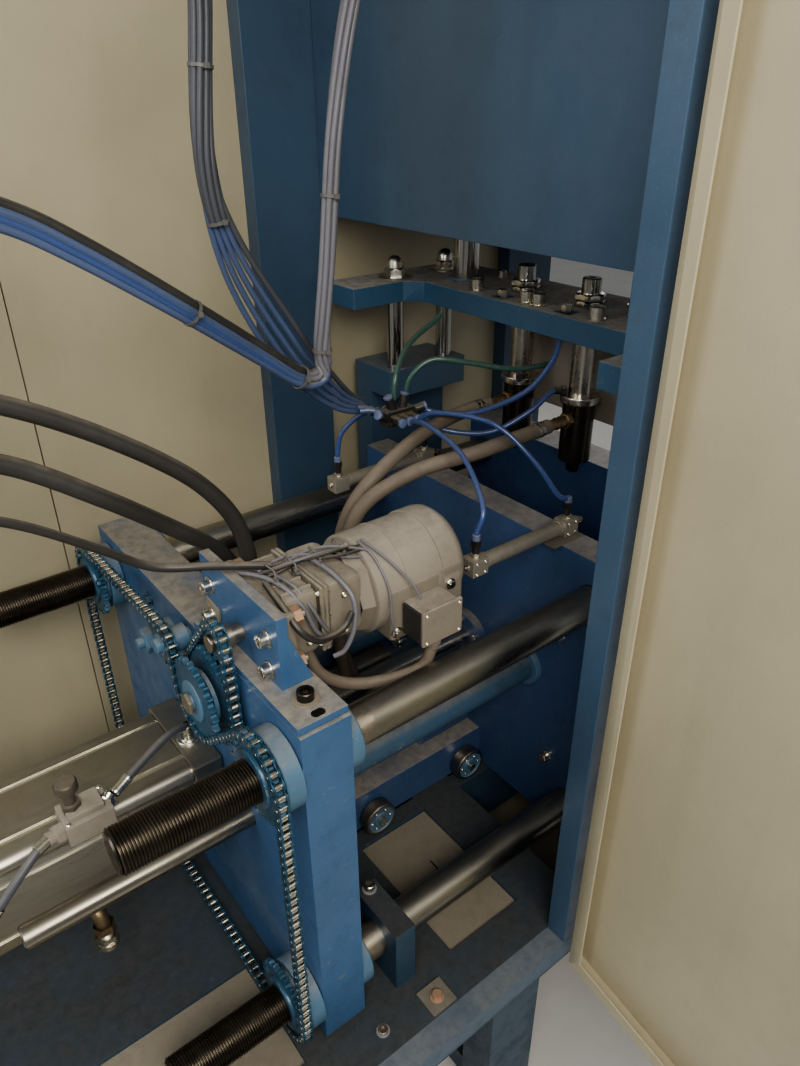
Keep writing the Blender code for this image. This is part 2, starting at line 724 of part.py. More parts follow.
def motor_bracket():
    x0, x1 = BRACKET_X, BRACKET_X + BRACKET_T
    foot_low = PLATEN_TOP_Z + GAP
    upright = box((x0, BRACKET_NEAR_Y, foot_low), (x1, BRACKET_FAR_Y, BRACKET_TOP_Z))
    foot = box((REAR_X, -0.345, foot_low), (REAR_X + PLATEN_T, BRACKET_FAR_Y, foot_low + BRACKET_FOOT_T))
    gusset = prism(
        [
            (x1 - 0.001, foot_low + 0.002),
            (REAR_X + PLATEN_T, foot_low + 0.002),
            (x1 - 0.001, BRACKET_TOP_Z - 0.030),
        ],
        "Y",
        BRACKET_NEAR_Y,
        BRACKET_NEAR_Y + 0.012,
    )
    bolts = [
        rod("X", (y, z), x0 - 0.012, x0 + 0.001, 0.009, SIDES_TINY)
        for y in (-0.243, -0.083)
        for z in (1.168, 1.217)
    ]
    top = foot_low + BRACKET_FOOT_T
    washer = rod("Z", (-0.320, -0.303), top - 0.001, top + 0.003, 0.018, SIDES_MID)
    screw = rod("Z", (-0.320, -0.303), top, top + 0.016, 0.011, SIDES_ROD)
    slot = box((-0.328, -0.346, foot_low - 0.01), (-0.314, -0.332, top + 0.01))
    hole = rod("X", (MOTOR_Y, MOTOR_Z), x0 - 0.01, x1 + 0.01, SHAFT_R + 0.010, SIDES_BAR)
    return join_and_cut("motor_bracket", "blue", [upright, foot, gusset, washer, screw] + bolts, [slot, hole])


def gear_motor():
    start = BRACKET_X + BRACKET_T + GAP
    y, z = MOTOR_Y, MOTOR_Z
    flange = box((start, y - 0.088, z - 0.034), (start + 0.025, y + 0.088, z + 0.060))
    case = box((start + 0.020, y - 0.064, z - 0.030), (start + REDUCER_L - 0.015, y + 0.064, z + 0.064))
    collar = rod("X", (y, z + 0.004), start + REDUCER_L - 0.016, start + REDUCER_L + 0.010, 0.057, SIDES_MID)
    shell_start = start + REDUCER_L
    profile = (
        (shell_start, 0.0),
        (shell_start, MOTOR_R - 0.004),
        (shell_start + 0.004, MOTOR_R),
        (shell_start + 0.118, MOTOR_R),
        (shell_start + 0.120, MOTOR_R + 0.002),
        (shell_start + MOTOR_L - 0.012, MOTOR_R + 0.002),
        (shell_start + MOTOR_L, MOTOR_R - 0.010),
        (shell_start + MOTOR_L, 0.0),
    )
    shell = lathe("X", (y, z + 0.004), profile, SIDES_BIG)
    plinth = box((shell_start + 0.020, y - 0.090, z - 0.064), (shell_start + 0.110, y, z + 0.038))
    box_x = shell_start + 0.042
    low_y = y - 0.122
    terminals = box((box_x, low_y, 1.131), (box_x + 0.068, y - 0.089, 1.184))
    lid = box((box_x - 0.003, low_y - 0.006, 1.128), (box_x + 0.071, low_y + 0.001, 1.187))
    gland = rod("Z", (box_x + 0.034, low_y + 0.018), 1.112, 1.132, 0.012, SIDES_ROD)
    bore = rod("X", (y, z), start - 0.01, start + 0.060, clear_of(SHAFT_R, SIDES_MID), SIDES_MID)
    solids = [flange, case, collar, shell, plinth, terminals, lid, gland]
    return join_and_cut("gear_motor", "grey", solids, [bore])


def clamp_cylinder():
    """Grooved barrel between two end caps, held by its tie rods, as one hollow body."""
    front = REAR_X - CAP_L - GAP
    back = front - BARREL_L
    half = BARREL_HALF
    chamfer = 0.012
    outline = []
    for sy, sz in ((1, 1), (-1, 1), (-1, -1), (1, -1)):
        corner = [(sy * half, MID_Z + sz * (half - chamfer)), (sy * (half - chamfer), MID_Z + sz * half)]
        outline += corner if sy * sz > 0 else corner[::-1]
    cap = half + 0.002
    solids = [prism(outline, "X", back - 0.001, front + 0.001)]
    solids.append(box((front, -cap, MID_Z - cap), (REAR_X - GAP, cap, MID_Z + cap)))
    solids.append(box((back - CAP_L, -cap, MID_Z - cap), (back, cap, MID_Z + cap)))
    for x in (front + 0.025, back - 0.025):
        solids.append(rod("Z", (x, -0.021), MID_Z + cap - 0.001, MID_Z + cap + 0.010, 0.020, SIDES_MID))
    cuts = [rod("X", (0.0, MID_Z), back, front, BORE_R, SIDES_BIG)]
    cuts.append(rod("X", (0.0, MID_Z), front - 0.01, REAR_X + 0.01, ROD_R + SLIDE, SIDES_BIG))
    for offset in (-0.050, 0.050):
        for side in (-1, 1):
            edge = side * half
            low, high = sorted((edge - side * 0.0035, edge + side * 0.01))
            cuts.append(box((back, offset - 0.005, MID_Z + low), (front, offset + 0.005, MID_Z + high)))
            cuts.append(box((back, low, MID_Z + offset - 0.005), (front, high, MID_Z + offset + 0.005)))
    return join_and_cut("clamp_cylinder", "alloy", solids, cuts)


def piston_rod():
    front = REAR_X - CAP_L - GAP - PISTON_FRONT_GAP
    end = MOVING_X + 0.029
    profile = (
        (front - PISTON_L, 0.0),
        (front - PISTON_L, BORE_R - PISTON_R_GAP),
        (front, BORE_R - PISTON_R_GAP),
        (front, ROD_R),
        (end, ROD_R),
        (end, 0.0),
    )
    return add_object("piston_rod", lathe("X", (0.0, MID_Z), profile, SIDES_BIG), "steel")


def bar_support(side):
    low_y, high_y = sorted((side * 0.240, side * 0.354))
    block = box((-0.221, low_y, DECK_Z - 0.001), (-0.181, high_y, 0.635))
    bolt = rod("Z", (-0.201, side * 0.254), 0.634, 0.646, 0.009, SIDES_SMALL)
    hole = rod("X", (side * TIE_Y, TIE_LOW_Z), -0.25, -0.15, TIE_R + GAP, SIDES_BAR)
    return [block, bolt], hole


def carriage():
    low = CARRIAGE_TOP_Z - CARRIAGE_T
    above = CARRIAGE_TOP_Z + 0.01
    x0, x1, x2, y, wing = WING_X, CARRIAGE_FRONT_X, CARRIAGE_BACK_X, CARRIAGE_Y, WING_IN_Y
    outline = [(x0, -y), (x2, -y), (x2, y), (x0, y), (x0, wing), (x1 - 0.03, wing), (x1, wing - 0.03)]
    outline += [(x1, -wing + 0.03), (x1 - 0.03, -wing), (x0, -wing)]
    solids = [prism(outline, "Z", low, CARRIAGE_TOP_Z)]
    cuts = []
    for side in (-1, 1):
        for x in GUIDE_COLUMN_X:
            cuts.append(rod("Z", (x, side * GUIDE_COLUMN_Y), low - 0.01, above, 0.0123, SIDES_SMALL))
        cuts.append(rod("Z", (PIN_X, side * PIN_Y), low - 0.01, above, 0.0163, SIDES_ROD))
        socket = rod("Z", (PIN_X, side * LIFT_Y), CARRIAGE_TOP_Z - 0.020, above, LIFT_R + GAP, SIDES_BAR)
        cuts.append(socket)
        low_y, high_y = sorted((side * (PIN_Y - 0.018), side * (PIN_Y + 0.018)))
        cuts.append(box((PIN_X - 0.075, low_y, low + 0.02), (PIN_X - 0.045, high_y, above)))
    for y_screw in (-0.145, 0.145, -0.015, 0.015):
        screw_at = (PIN_X - 0.062, y_screw)
        solids.append(rod("Z", screw_at, CARRIAGE_TOP_Z - 0.001, CARRIAGE_TOP_Z + 0.018, 0.011, SIDES_TINY))
    return join_and_cut("pin_carriage", "blue", solids, cuts)


def guide_column(name, x, y):
    top = CARRIAGE_TOP_Z
    low = top - CARRIAGE_T
    profile = (
        (GUIDE_COLUMN_FOOT_Z, 0.0),
        (GUIDE_COLUMN_FOOT_Z, GUIDE_COLUMN_R),
        (low - GAP, GUIDE_COLUMN_R),
        (low - GAP, 0.012),
        (top + GAP, 0.012),
        (top + GAP, 0.021),
        (top + 0.022, 0.019),
        (top + 0.036, 0.011),
        (top + 0.040, 0.0),
    )
    return add_object(name, lathe("Z", (x, y), profile, SIDES_SMALL), "steel")


def lift_rod(name, y):
    low = CARRIAGE_TOP_Z - 0.020 + GAP
    return add_object(name, rod("Z", (PIN_X, y), low, 2.060, LIFT_R, SIDES_BAR), "steel")


def blow_pin(name, y):
    """Stem with its adjusting nuts above the carriage and the cooled pin body below it."""
    low = CARRIAGE_TOP_Z - CARRIAGE_T
    top = CARRIAGE_TOP_Z
    profile = (
        (1.175, 0.0),
        (1.175, 0.012),
        (1.200, 0.0135),
        (1.200, 0.030),
        (1.318, 0.030),
        (1.318, 0.037),
        (1.330, 0.037),
        (1.330, 0.022),
        (low - 0.014, 0.022),
        (low - 0.014, 0.030),
        (low - GAP, 0.030),
        (low - GAP, 0.016),
        (top + GAP, 0.016),
        (top + GAP, 0.027),
        (top + 0.024, 0.027),
        (top + 0.024, 0.017),
        (top + 0.050, 0.017),
        (top + 0.050, 0.0),
    )
    stem = lathe("Z", (PIN_X, y), profile, SIDES_ROD)
    barb = rod("X", (y, 1.285), PIN_X - 0.075, PIN_X - 0.020, 0.011, SIDES_SMALL)
    return join_and_cut(name, "dark_steel", [stem, barb])


def small_cylinder(name, y):
    block = SMALL_BLOCK / 2
    x0, x1 = SMALL_X, SMALL_X + SMALL_L
    rear = box((x0, y - block, SMALL_Z - block), (x0 + 0.034, y + block, SMALL_Z + block))
    tube = rod("X", (y, SMALL_Z), x0 + 0.030, x1 - 0.030, SMALL_R, SIDES_BAR)
    front = box((x1 - 0.034, y - block, SMALL_Z - block), (x1, y + block, SMALL_Z + block))
    ports = []
    for x in (x0 + 0.017, x1 - 0.017):
        ports.append(rod("Z", (x, y), SMALL_Z + block - 0.001, SMALL_Z + block + 0.034, 0.0075, SIDES_SMALL))
    bore = rod("X", (y, SMALL_Z), x1 - 0.200, x1 + 0.01, 0.0056, SIDES_SMALL)
    return join_and_cut(name, "alloy", [rear, tube, front] + ports, [bore])


def small_rod(name, y):
    x1 = SMALL_X + SMALL_L
    profile = (
        (x1 - 0.190, 0.0),
        (x1 - 0.190, 0.005),
        (x1 + 0.012, 0.005),
        (x1 + 0.012, 0.009),
        (x1 + 0.024, 0.009),
        (x1 + 0.024, 0.0),
    )
    return add_object(name, lathe("X", (y, SMALL_Z), profile, SIDES_SMALL), "steel")


def air_manifold():
    x, y, z = 0.143, 0.104, 1.302
    solids = [box((x - 0.030, y - 0.012, z - 0.014), (x + 0.030, y + 0.012, z + 0.014))]
    for offset in (-0.018, 0.0, 0.018):
        solids.append(rod("Y", (x + offset, z), y - 0.034, y + 0.034, 0.007, SIDES_TINY))
    return join_and_cut("air_manifold", "rubber", solids)


def valve_block():
    x, y = -0.570, -0.090
    low = MID_Z + BARREL_HALF + GAP
    solids = [
        box((x - 0.034, y - 0.030, low), (x + 0.034, y + 0.025, low + 0.045)),
        rod("Z", (x - 0.015, y), low + 0.044, low + 0.075, 0.008, SIDES_SMALL),
        rod("Z", (x - 0.015, y), low + 0.074, low + 0.092, 0.016, SIDES_ROD),
    ]
    return join_and_cut("flow_valve", "grey", solids)


HOSE_RAIL_FACE_X = -BASE_HALF_X + FRAME_TUBE
HOSES_DRAWN_FROM_X = -0.960
HOSES_BEND_X = -0.250
BUNDLE_Z = HEAD_TOP_Z - 0.118


def from_rail(points):
    """Stretches the span between the hose rail and the rear platen with the base's length."""
    stretch = (HOSE_RAIL_FACE_X - HOSES_BEND_X) / (HOSES_DRAWN_FROM_X - HOSES_BEND_X)
    placed = []
    for x, y, z in points:
        span = x - HOSES_BEND_X
        placed.append((HOSES_BEND_X + (span * stretch if span < 0 else span), y, z))
    return placed


HOSES = (
    ("air_bundle_down", 0.017, "hose_grey", [
        (0.2050, 0.100, BUNDLE_Z), (0.170, 0.100, BUNDLE_Z + 0.001), (0.120, 0.100, BUNDLE_Z + 0.010),
        (0.000, 0.100, BUNDLE_Z + 0.010), (-0.100, 0.100, BUNDLE_Z - 0.025), (-0.155, 0.100, BUNDLE_Z - 0.090),
        (-0.166, 0.100, 1.924), (-0.184, 0.100, 1.744), (-0.155, 0.100, 1.611),
        (-0.075, 0.100, 1.464), (-0.020, 0.106, 1.400), (0.035, 0.120, 1.352), (0.088, 0.140, 1.322),
    ]),
    ("air_bundle_across", 0.014, "tube_blue", from_rail([
        (-0.9540, -0.220, 1.605), (-0.900, -0.218, 1.606), (-0.820, -0.180, 1.660), (-0.700, -0.090, 1.740),
        (-0.590, -0.020, 1.748), (-0.478, 0.000, 1.708), (-0.401, 0.005, 1.663), (-0.276, 0.015, 1.574),
        (-0.160, 0.025, 1.487), (-0.108, 0.030, 1.447), (-0.078, 0.032, 1.434), (-0.058, 0.032, 1.445),
        (-0.057, 0.031, 1.500), (-0.040, 0.030, 1.620), (-0.018, 0.030, 1.789), (0.013, 0.028, 1.927),
        (0.045, 0.018, BUNDLE_Z - 0.085), (0.095, 0.006, BUNDLE_Z - 0.032), (0.160, 0.000, BUNDLE_Z - 0.020),
        (0.2050, 0.000, BUNDLE_Z - 0.020),
    ])),
    ("hydraulic_hose_upper", 0.0125, "rubber", from_rail([
        (-0.9580, 0.050, 1.600), (-0.925, 0.050, 1.600), (-0.860, 0.042, 1.602), (-0.750, 0.020, 1.585),
        (-0.640, 0.004, 1.552), (-0.527, 0.000, 1.503), (-0.440, -0.005, 1.452), (-0.359, -0.016, 1.393),
        (-0.305, -0.026, 1.342), (-0.266, -0.034, 1.280), (-0.251, -0.038, 1.210), (-0.250, -0.038, 1.140),
        (-0.250, -0.038, PORT_BLOCK_TOP_Z + GAP),
    ])),
    ("hydraulic_hose_lower", 0.0125, "rubber", from_rail([
        (-0.9580, -0.040, 1.590), (-0.925, -0.040, 1.589), (-0.880, -0.042, 1.580), (-0.780, -0.040, 1.545),
        (-0.660, -0.030, 1.488), (-0.542, -0.020, 1.437), (-0.440, -0.030, 1.364), (-0.346, -0.016, 1.280),
        (-0.292, -0.002, 1.228), (-0.259, 0.010, 1.178), (-0.250, 0.014, 1.132), (-0.250, 0.014, 1.101),
        (-0.250, 0.014, PORT_BLOCK_TOP_Z + 4 * GAP),
    ])),
    ("motor_cable", 0.006, "rubber", from_rail([
        (-0.9580, -0.140, 1.600), (-0.925, -0.140, 1.599), (-0.880, -0.138, 1.588), (-0.780, -0.130, 1.540),
        (-0.660, -0.115, 1.456), (-0.560, -0.110, 1.400), (-0.480, -0.110, 1.340), (-0.420, -0.115, 1.294),
        (-0.350, -0.140, 1.281), (-0.281, -0.165, 1.268),
    ])),
    ("motor_conduit", 0.009, "hose_grey", [
        (-0.262, -0.205, 1.149), (-0.245, -0.216, 1.098), (-0.205, -0.232, 1.070), (-0.150, -0.250, 1.062),
        (-0.100, -0.265, 1.070), (-0.083, -0.269, 1.100),
    ]),
    ("water_hose_near", 0.0135, "hose_grey", [
        (0.350, -0.078, 1.285), (0.280, -0.078, 1.283), (0.190, -0.060, 1.270), (0.090, -0.020, 1.250),
        (0.010, 0.020, 1.200), (-0.020, 0.040, 1.130), (-0.033, 0.055, 1.030),
        (-0.025, 0.075, 0.860), (0.010, 0.090, 0.720), (0.065, 0.100, 0.600), (0.090, 0.100, 0.509),
    ]),
    ("water_hose_far", 0.0135, "hose_grey", [
        (0.350, 0.078, 1.285), (0.280, 0.080, 1.288), (0.190, 0.075, 1.280), (0.090, 0.060, 1.250),
        (0.020, 0.062, 1.190), (-0.005, 0.080, 1.120), (-0.012, 0.092, 1.030),
        (-0.005, 0.108, 0.860), (0.040, 0.118, 0.720), (0.105, 0.133, 0.600), (0.127, 0.136, 0.509),
    ]),
    ("cylinder_hose", 0.0065, "hose_grey", [
        (-0.383, -0.021, 0.926), (-0.388, -0.030, 0.960), (-0.430, -0.048, 0.972), (-0.490, -0.070, 0.955),
        (-0.524, -0.084, 0.941),
    ]),
    ("air_tube_near", 0.004, "tube_blue", [
        (0.143, 0.065, 1.302), (0.130, 0.000, 1.300), (0.120, -0.100, 1.285), (0.085, -0.190, 1.250),
        (0.067, -0.197, 1.210),
    ]),
    ("air_tube_far", 0.004, "tube_blue", [
        (0.125, 0.143, 1.302), (0.110, 0.175, 1.290), (0.078, 0.195, 1.255), (0.067, 0.197, 1.210),
    ]),
)


def main():
    clear_scene()
    base_frame()
    drip_tray()
    enclosure_frame()
    tower_frame()
    head_box()
    far_panel("far_panel_left", -BASE_HALF_X, -0.398)
    far_panel("far_panel_right", -0.396, COLUMN_X + COLUMN_D)
    far_panel("far_panel_back", COLUMN_X + COLUMN_D + 0.002, BACK_COLUMN_X + COLUMN_D)
    door("door", DOOR_PIVOT, -1, DOOR_OPEN_DEG)
    for label, y in (("near", -TIE_Y), ("far", TIE_Y)):
        for level, z in (("low", TIE_LOW_Z), ("high", TIE_HIGH_Z)):
            tie_bar(f"tie_bar_{label}_{level}", y, z)
            adjusting_nut(f"adjusting_nut_{label}_{level}", y, z)
    rear_platen()
    moving_platen()
    front_platen()
    for label, side in (("near", -1), ("far", 1)):
        guide_rod(f"guide_rod_{label}", side)
        lift_rod(f"lift_rod_{label}", side * LIFT_Y)
        blow_pin(f"blow_pin_{label}", side * PIN_Y)
        small_cylinder(f"small_cylinder_{label}", side * SMALL_Y)
        small_rod(f"small_rod_{label}", side * SMALL_Y)
        for end, x in zip(("back", "front"), GUIDE_COLUMN_X):
            guide_column(f"guide_column_{label}_{end}", x, side * GUIDE_COLUMN_Y)
    for end, x in zip(("back", "front"), ROLLER_X):
        support_wheels(f"support_wheels_{end}", x)
    main_loop = [
        (-TIE_Y, TIE_HIGH_Z, pitch_radius(NUT_TEETH), 1),
        (-TIE_Y, TIE_LOW_Z, pitch_radius(NUT_TEETH), 1),
        (TIE_Y, TIE_LOW_Z, pitch_radius(NUT_TEETH), 1),
        (TIE_Y, TIE_HIGH_Z, pitch_radius(NUT_TEETH), 1),
        (IDLER_Y, IDLER_Z, pitch_radius(IDLER_TEETH), 1),
        (CENTRAL_Y, CENTRAL_Z, pitch_radius(NUT_TEETH), -1),
    ]
    drive_loop = [
        (MOTOR_Y, MOTOR_Z, pitch_radius(MOTOR_TEETH), 1),
        (CENTRAL_Y, CENTRAL_Z, pitch_radius(DRIVEN_TEETH), 1),
    ]
    chain("main_chain", main_loop, MAIN_CHAIN_X)
    chain("drive_chain", drive_loop, DRIVE_CHAIN_X)
    sprocket_shaft(
        "central_sprocket", CENTRAL_Y, CENTRAL_Z, ((NUT_TEETH, MAIN_CHAIN_X), (DRIVEN_TEETH, DRIVE_CHAIN_X))
    )
    sprocket_shaft("idler_sprocket", IDLER_Y, IDLER_Z, ((IDLER_TEETH, MAIN_CHAIN_X),))
    motor_sprocket()
    motor_bracket()
    gear_motor()
    clamp_cylinder()
    piston_rod()
    carriage()
    air_manifold()
    valve_block()
    for name, radius, finish_name, route in HOSES:
        hose(name, route, radius, finish_name)


main()
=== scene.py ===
import math

import bmesh
import bpy
from mathutils import Matrix, Vector


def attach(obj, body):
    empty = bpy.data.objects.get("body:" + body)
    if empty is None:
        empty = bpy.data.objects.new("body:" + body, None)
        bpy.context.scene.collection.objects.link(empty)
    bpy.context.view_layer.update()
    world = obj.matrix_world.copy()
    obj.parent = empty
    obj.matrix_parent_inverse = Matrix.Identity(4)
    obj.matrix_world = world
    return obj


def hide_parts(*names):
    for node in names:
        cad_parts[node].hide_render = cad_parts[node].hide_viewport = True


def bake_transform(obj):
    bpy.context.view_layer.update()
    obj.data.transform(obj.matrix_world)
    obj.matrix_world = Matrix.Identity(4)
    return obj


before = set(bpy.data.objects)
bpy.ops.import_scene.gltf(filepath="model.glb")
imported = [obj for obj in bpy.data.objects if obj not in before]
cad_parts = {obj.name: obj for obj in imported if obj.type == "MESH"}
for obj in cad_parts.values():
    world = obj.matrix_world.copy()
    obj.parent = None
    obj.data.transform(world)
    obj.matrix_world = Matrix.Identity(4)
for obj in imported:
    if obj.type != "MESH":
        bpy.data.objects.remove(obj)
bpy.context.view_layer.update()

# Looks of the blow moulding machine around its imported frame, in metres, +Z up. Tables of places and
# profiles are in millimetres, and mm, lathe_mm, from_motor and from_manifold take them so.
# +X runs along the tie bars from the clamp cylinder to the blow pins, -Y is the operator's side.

# Camera

camera_data = bpy.data.cameras.new("camera")
camera_data.sensor_fit = "HORIZONTAL"
camera_data.sensor_width = 36.0
camera_data.lens = 35.775
camera_data.clip_start = 0.02
camera = bpy.data.objects.new("camera", camera_data)
bpy.context.scene.collection.objects.link(camera)
right = Vector((0.78981827, -0.61330683, -0.00646755))
up = Vector((0.3015402, 0.37909874, 0.87484722))
back = -Vector((0.53409794, 0.69292054, -0.48435578))
axes = Matrix((right, up, back)).transposed().to_4x4()
camera.matrix_world = Matrix.Translation((-0.7, -0.994, 1.821)) @ axes
bpy.context.scene.camera = camera


# Materials

class Surface:
    """A procedural material: base colour with broad and fine variation, grime, dust on top faces, bump."""

    def __init__(self, name):
        self.material = bpy.data.materials.new(name)
        self.material.use_nodes = True
        self.tree = self.material.node_tree
        self.shader = self.tree.nodes["Principled BSDF"]
        self.coords = self.node("ShaderNodeTexCoord").outputs["Object"]

    def node(self, kind, **values):
        made = self.tree.nodes.new(kind)
        for key, value in values.items():
            setattr(made, key, value)
        return made

    def wire(self, value, socket):
        if isinstance(value, bpy.types.NodeSocket):
            self.tree.links.new(value, socket)
        else:
            socket.default_value = value

    def set_inputs(self, node, values):
        for key, value in values.items():
            node.inputs[key].default_value = value

    def noise(self, scale, detail=5.0, roughness=0.6, stretch=None):
        coords = self.coords
        if stretch:
            scaled = self.node("ShaderNodeVectorMath", operation="MULTIPLY")
            self.wire(coords, scaled.inputs[0])
            self.wire(stretch, scaled.inputs[1])
            coords = scaled.outputs[0]
        made = self.node("ShaderNodeTexNoise")
        self.wire(coords, made.inputs["Vector"])
        self.set_inputs(made, {"Scale": scale, "Detail": detail, "Roughness": roughness})
        return made.outputs["Fac"]

    def span(self, value, low, high, to_low=0.0, to_high=1.0):
        made = self.node("ShaderNodeMapRange", interpolation_type="SMOOTHSTEP")
        self.wire(value, made.inputs["Value"])
        self.set_inputs(made, {"From Min": low, "From Max": high, "To Min": to_low, "To Max": to_high})
        return made.outputs["Result"]

    def times(self, a, b):
        made = self.node("ShaderNodeMath", operation="MULTIPLY", use_clamp=True)
        self.wire(a, made.inputs[0])
        self.wire(b, made.inputs[1])
        return made.outputs[0]

    def mix(self, factor, a, b, kind="RGBA"):
        made = self.node("ShaderNodeMix", data_type=kind)
        first_in, out = {"RGBA": (6, 2), "FLOAT": (2, 0)}[kind]
        self.wire(factor, made.inputs["Factor"])
        self.wire(a, made.inputs[first_in])
        self.wire(b, made.inputs[first_in + 1])
        return made.outputs[out]

    def upward(self):
        split = self.node("ShaderNodeSeparateXYZ")
        self.wire(self.node("ShaderNodeNewGeometry").outputs["Normal"], split.inputs[0])
        return split.outputs["Z"]


DUST = (0.33, 0.29, 0.22, 1.0)
GRIME = (0.028, 0.026, 0.022, 1.0)
DUST_ROUGHNESS = 0.85


def shade(color, amount):
    return tuple(min(1.0, channel * amount) for channel in color[:3]) + (1.0,)


def finish(name, color, roughness=(0.35, 0.6), metallic=0.0, vary=0.12, grime=0.3, grime_color=GRIME,
        dust=0.0, chips=0.0, chip_color=(0.24, 0.22, 0.19, 1.0), bump=0.12, bump_scale=240.0, stretch=None,
        coat=0.0, streaks=0.0, specks=0.0, dust_color=DUST):
    s = Surface(name)
    color = tuple(color) + (1.0,)
    broad = s.noise(2.7, 4.0, 0.55)
    patches = s.noise(17.0, 8.0, 0.68, stretch)
    fine = s.noise(bump_scale, 3.0, 0.6, stretch)
    out = s.mix(s.span(broad, 0.32, 0.68), shade(color, 1.0 - vary), shade(color, 1.0 + vary))
    out = s.mix(s.times(s.span(patches, 0.5, 0.74), grime), out, grime_color)
    worn = s.span(patches, 0.4, 0.7, roughness[0], roughness[1])
    if streaks:
        drip = s.noise(9.0, 6.0, 0.6, (1.0, 1.0, 0.1))
        out = s.mix(s.times(s.span(drip, 0.52, 0.72), streaks), out, shade(color, 0.55))
    if chips:
        spot = s.noise(75.0, 4.0, 0.5)
        out = s.mix(s.times(s.span(spot, 0.66, 0.7), chips), out, chip_color)
    if specks:
        spot = s.noise(420.0, 2.0, 0.4)
        out = s.mix(s.times(s.span(spot, 0.62, 0.72), specks), out, shade(color, 1.7))
    if dust:
        lying = s.span(s.upward(), 0.45, 0.97)
        cover = s.times(s.times(lying, s.span(s.noise(11.0, 7.0, 0.7), 0.22, 0.62, 0.45, 1.0)), dust)
        out = s.mix(cover, out, s.mix(s.span(s.noise(60.0, 6.0, 0.7), 0.35, 0.7), dust_color,
            shade(dust_color, 0.62)))
        worn = s.mix(cover, worn, DUST_ROUGHNESS, "FLOAT")
    s.wire(out, s.shader.inputs["Base Color"])
    s.wire(worn, s.shader.inputs["Roughness"])
    s.set_inputs(s.shader, {"Metallic": metallic, "Coat Weight": coat, "Coat Roughness": 0.25})
    raised = s.node("ShaderNodeBump")
    s.set_inputs(raised, {"Strength": bump, "Distance": 0.0006})
    s.wire(fine, raised.inputs["Height"])
    s.wire(raised.outputs[0], s.shader.inputs["Normal"])
    return s.material


PAINT = finish("blue_paint_dusty", (0.05, 0.092, 0.19), (0.3, 0.55), grime=0.24, dust=0.8, chips=0.25,
    streaks=0.22, coat=0.15)
PAINT_BASE = finish("blue_paint_base", (0.03, 0.062, 0.098), (0.34, 0.58), grime=0.35, dust=0.85, chips=0.2,
    streaks=0.18, dust_color=(0.05, 0.048, 0.042, 1.0))
# A darker, greyer copy of the same blue paint: painted shade for the enclosure frame, tower and head box.
PAINT_SHADED_COPY = finish("blue_paint_shaded_copy", (0.05, 0.09, 0.142), (0.3, 0.48), grime=0.16, dust=0.35, streaks=0.16,
    coat=0.2, specks=0.4)
# A lighter copy of the same blue paint: painted light for the lit rear platen and its motor bracket.
PAINT_LIT_COPY = finish("blue_paint_lit_copy", (0.05, 0.118, 0.232), (0.32, 0.55), grime=0.22, dust=0.9,
    chips=0.3, streaks=0.18, specks=0.5)
PAINT_SLEEVE = finish("blue_paint_sleeve", (0.048, 0.096, 0.152), (0.4, 0.62), grime=0.35, dust=0.55,
    chips=0.3)
PAINT_LIGHT = finish("light_blue_overspray", (0.08, 0.16, 0.24), (0.38, 0.62), grime=0.35, dust=0.5,
    chips=0.35)
PAINT_CARRIAGE = finish("blue_paint_carriage", (0.042, 0.1, 0.172), (0.32, 0.55), grime=0.2, dust=1.0,
    chips=0.2, streaks=0.15, dust_color=(0.4, 0.37, 0.32, 1.0))
CREAM = finish("cream_paint", (0.44, 0.395, 0.275), (0.34, 0.55), grime=0.1,
    grime_color=(0.23, 0.19, 0.12, 1.0), dust=0.25, streaks=0.12, specks=0.12, vary=0.06, bump=0.25,
    bump_scale=420.0)
CHROME = finish("polished_steel", (0.5, 0.47, 0.41), (0.14, 0.34), 1.0, grime=0.35, vary=0.06, dust=0.3,
    stretch=(0.25, 1.0, 1.0), bump=0.05, specks=0.2)
BAR = finish("tie_bar_steel", (0.36, 0.345, 0.305), (0.26, 0.44), 1.0, grime=0.45, vary=0.08, dust=0.25,
    stretch=(0.25, 1.0, 1.0), bump=0.05, specks=0.2)
ROD_DARK = finish("oiled_guide_rod", (0.3, 0.275, 0.225), (0.2, 0.42), 1.0, grime=0.55, dust=0.25,
    stretch=(0.3, 1.0, 1.0), bump=0.06)
CHROME_UPRIGHT = finish("polished_steel_upright", (0.6, 0.58, 0.54), (0.1, 0.28), 1.0, grime=0.22, vary=0.06,
    stretch=(1.0, 1.0, 0.2), bump=0.04)
WORN_STEEL = finish("worn_steel", (0.36, 0.32, 0.26), (0.3, 0.62), 1.0, grime=0.55, vary=0.15, bump=0.3)
THREAD = finish("oiled_thread", (0.115, 0.098, 0.075), (0.28, 0.5), 1.0, grime=0.45, vary=0.15, bump=0.25)
ZINC = finish("zinc_screw", (0.66, 0.63, 0.55), (0.22, 0.45), 1.0, vary=0.08, bump=0.1)
RUSTY = finish("rusty_washer", (0.46, 0.3, 0.2), (0.45, 0.7), 0.5, grime=0.35, vary=0.18, bump=0.3)
LINK = finish("chain_plate", (0.045, 0.115, 0.175), (0.32, 0.62), 0.65, grime=0.75, vary=0.35, chips=0.5,
    chip_color=(0.3, 0.33, 0.34, 1.0), bump=0.35)
ROLLER = finish("chain_roller", (0.62, 0.58, 0.48), (0.16, 0.4), 1.0, grime=0.35, bump=0.1)
SPROCKET = finish("sprocket_paint", (0.034, 0.09, 0.145), (0.32, 0.6), 0.25, grime=0.65, vary=0.25, chips=0.6,
    chip_color=(0.2, 0.24, 0.27, 1.0), bump=0.3)
CASE = finish("motor_casing", (0.215, 0.19, 0.15), (0.45, 0.68), dust=0.75, vary=0.14, bump=0.3,
    bump_scale=160.0, dust_color=(0.36, 0.32, 0.26, 1.0))
CASE_SHEET = finish("motor_sheet", (0.27, 0.24, 0.195), (0.4, 0.6), grime=0.25, dust=0.55,
    dust_color=(0.4, 0.36, 0.3, 1.0))
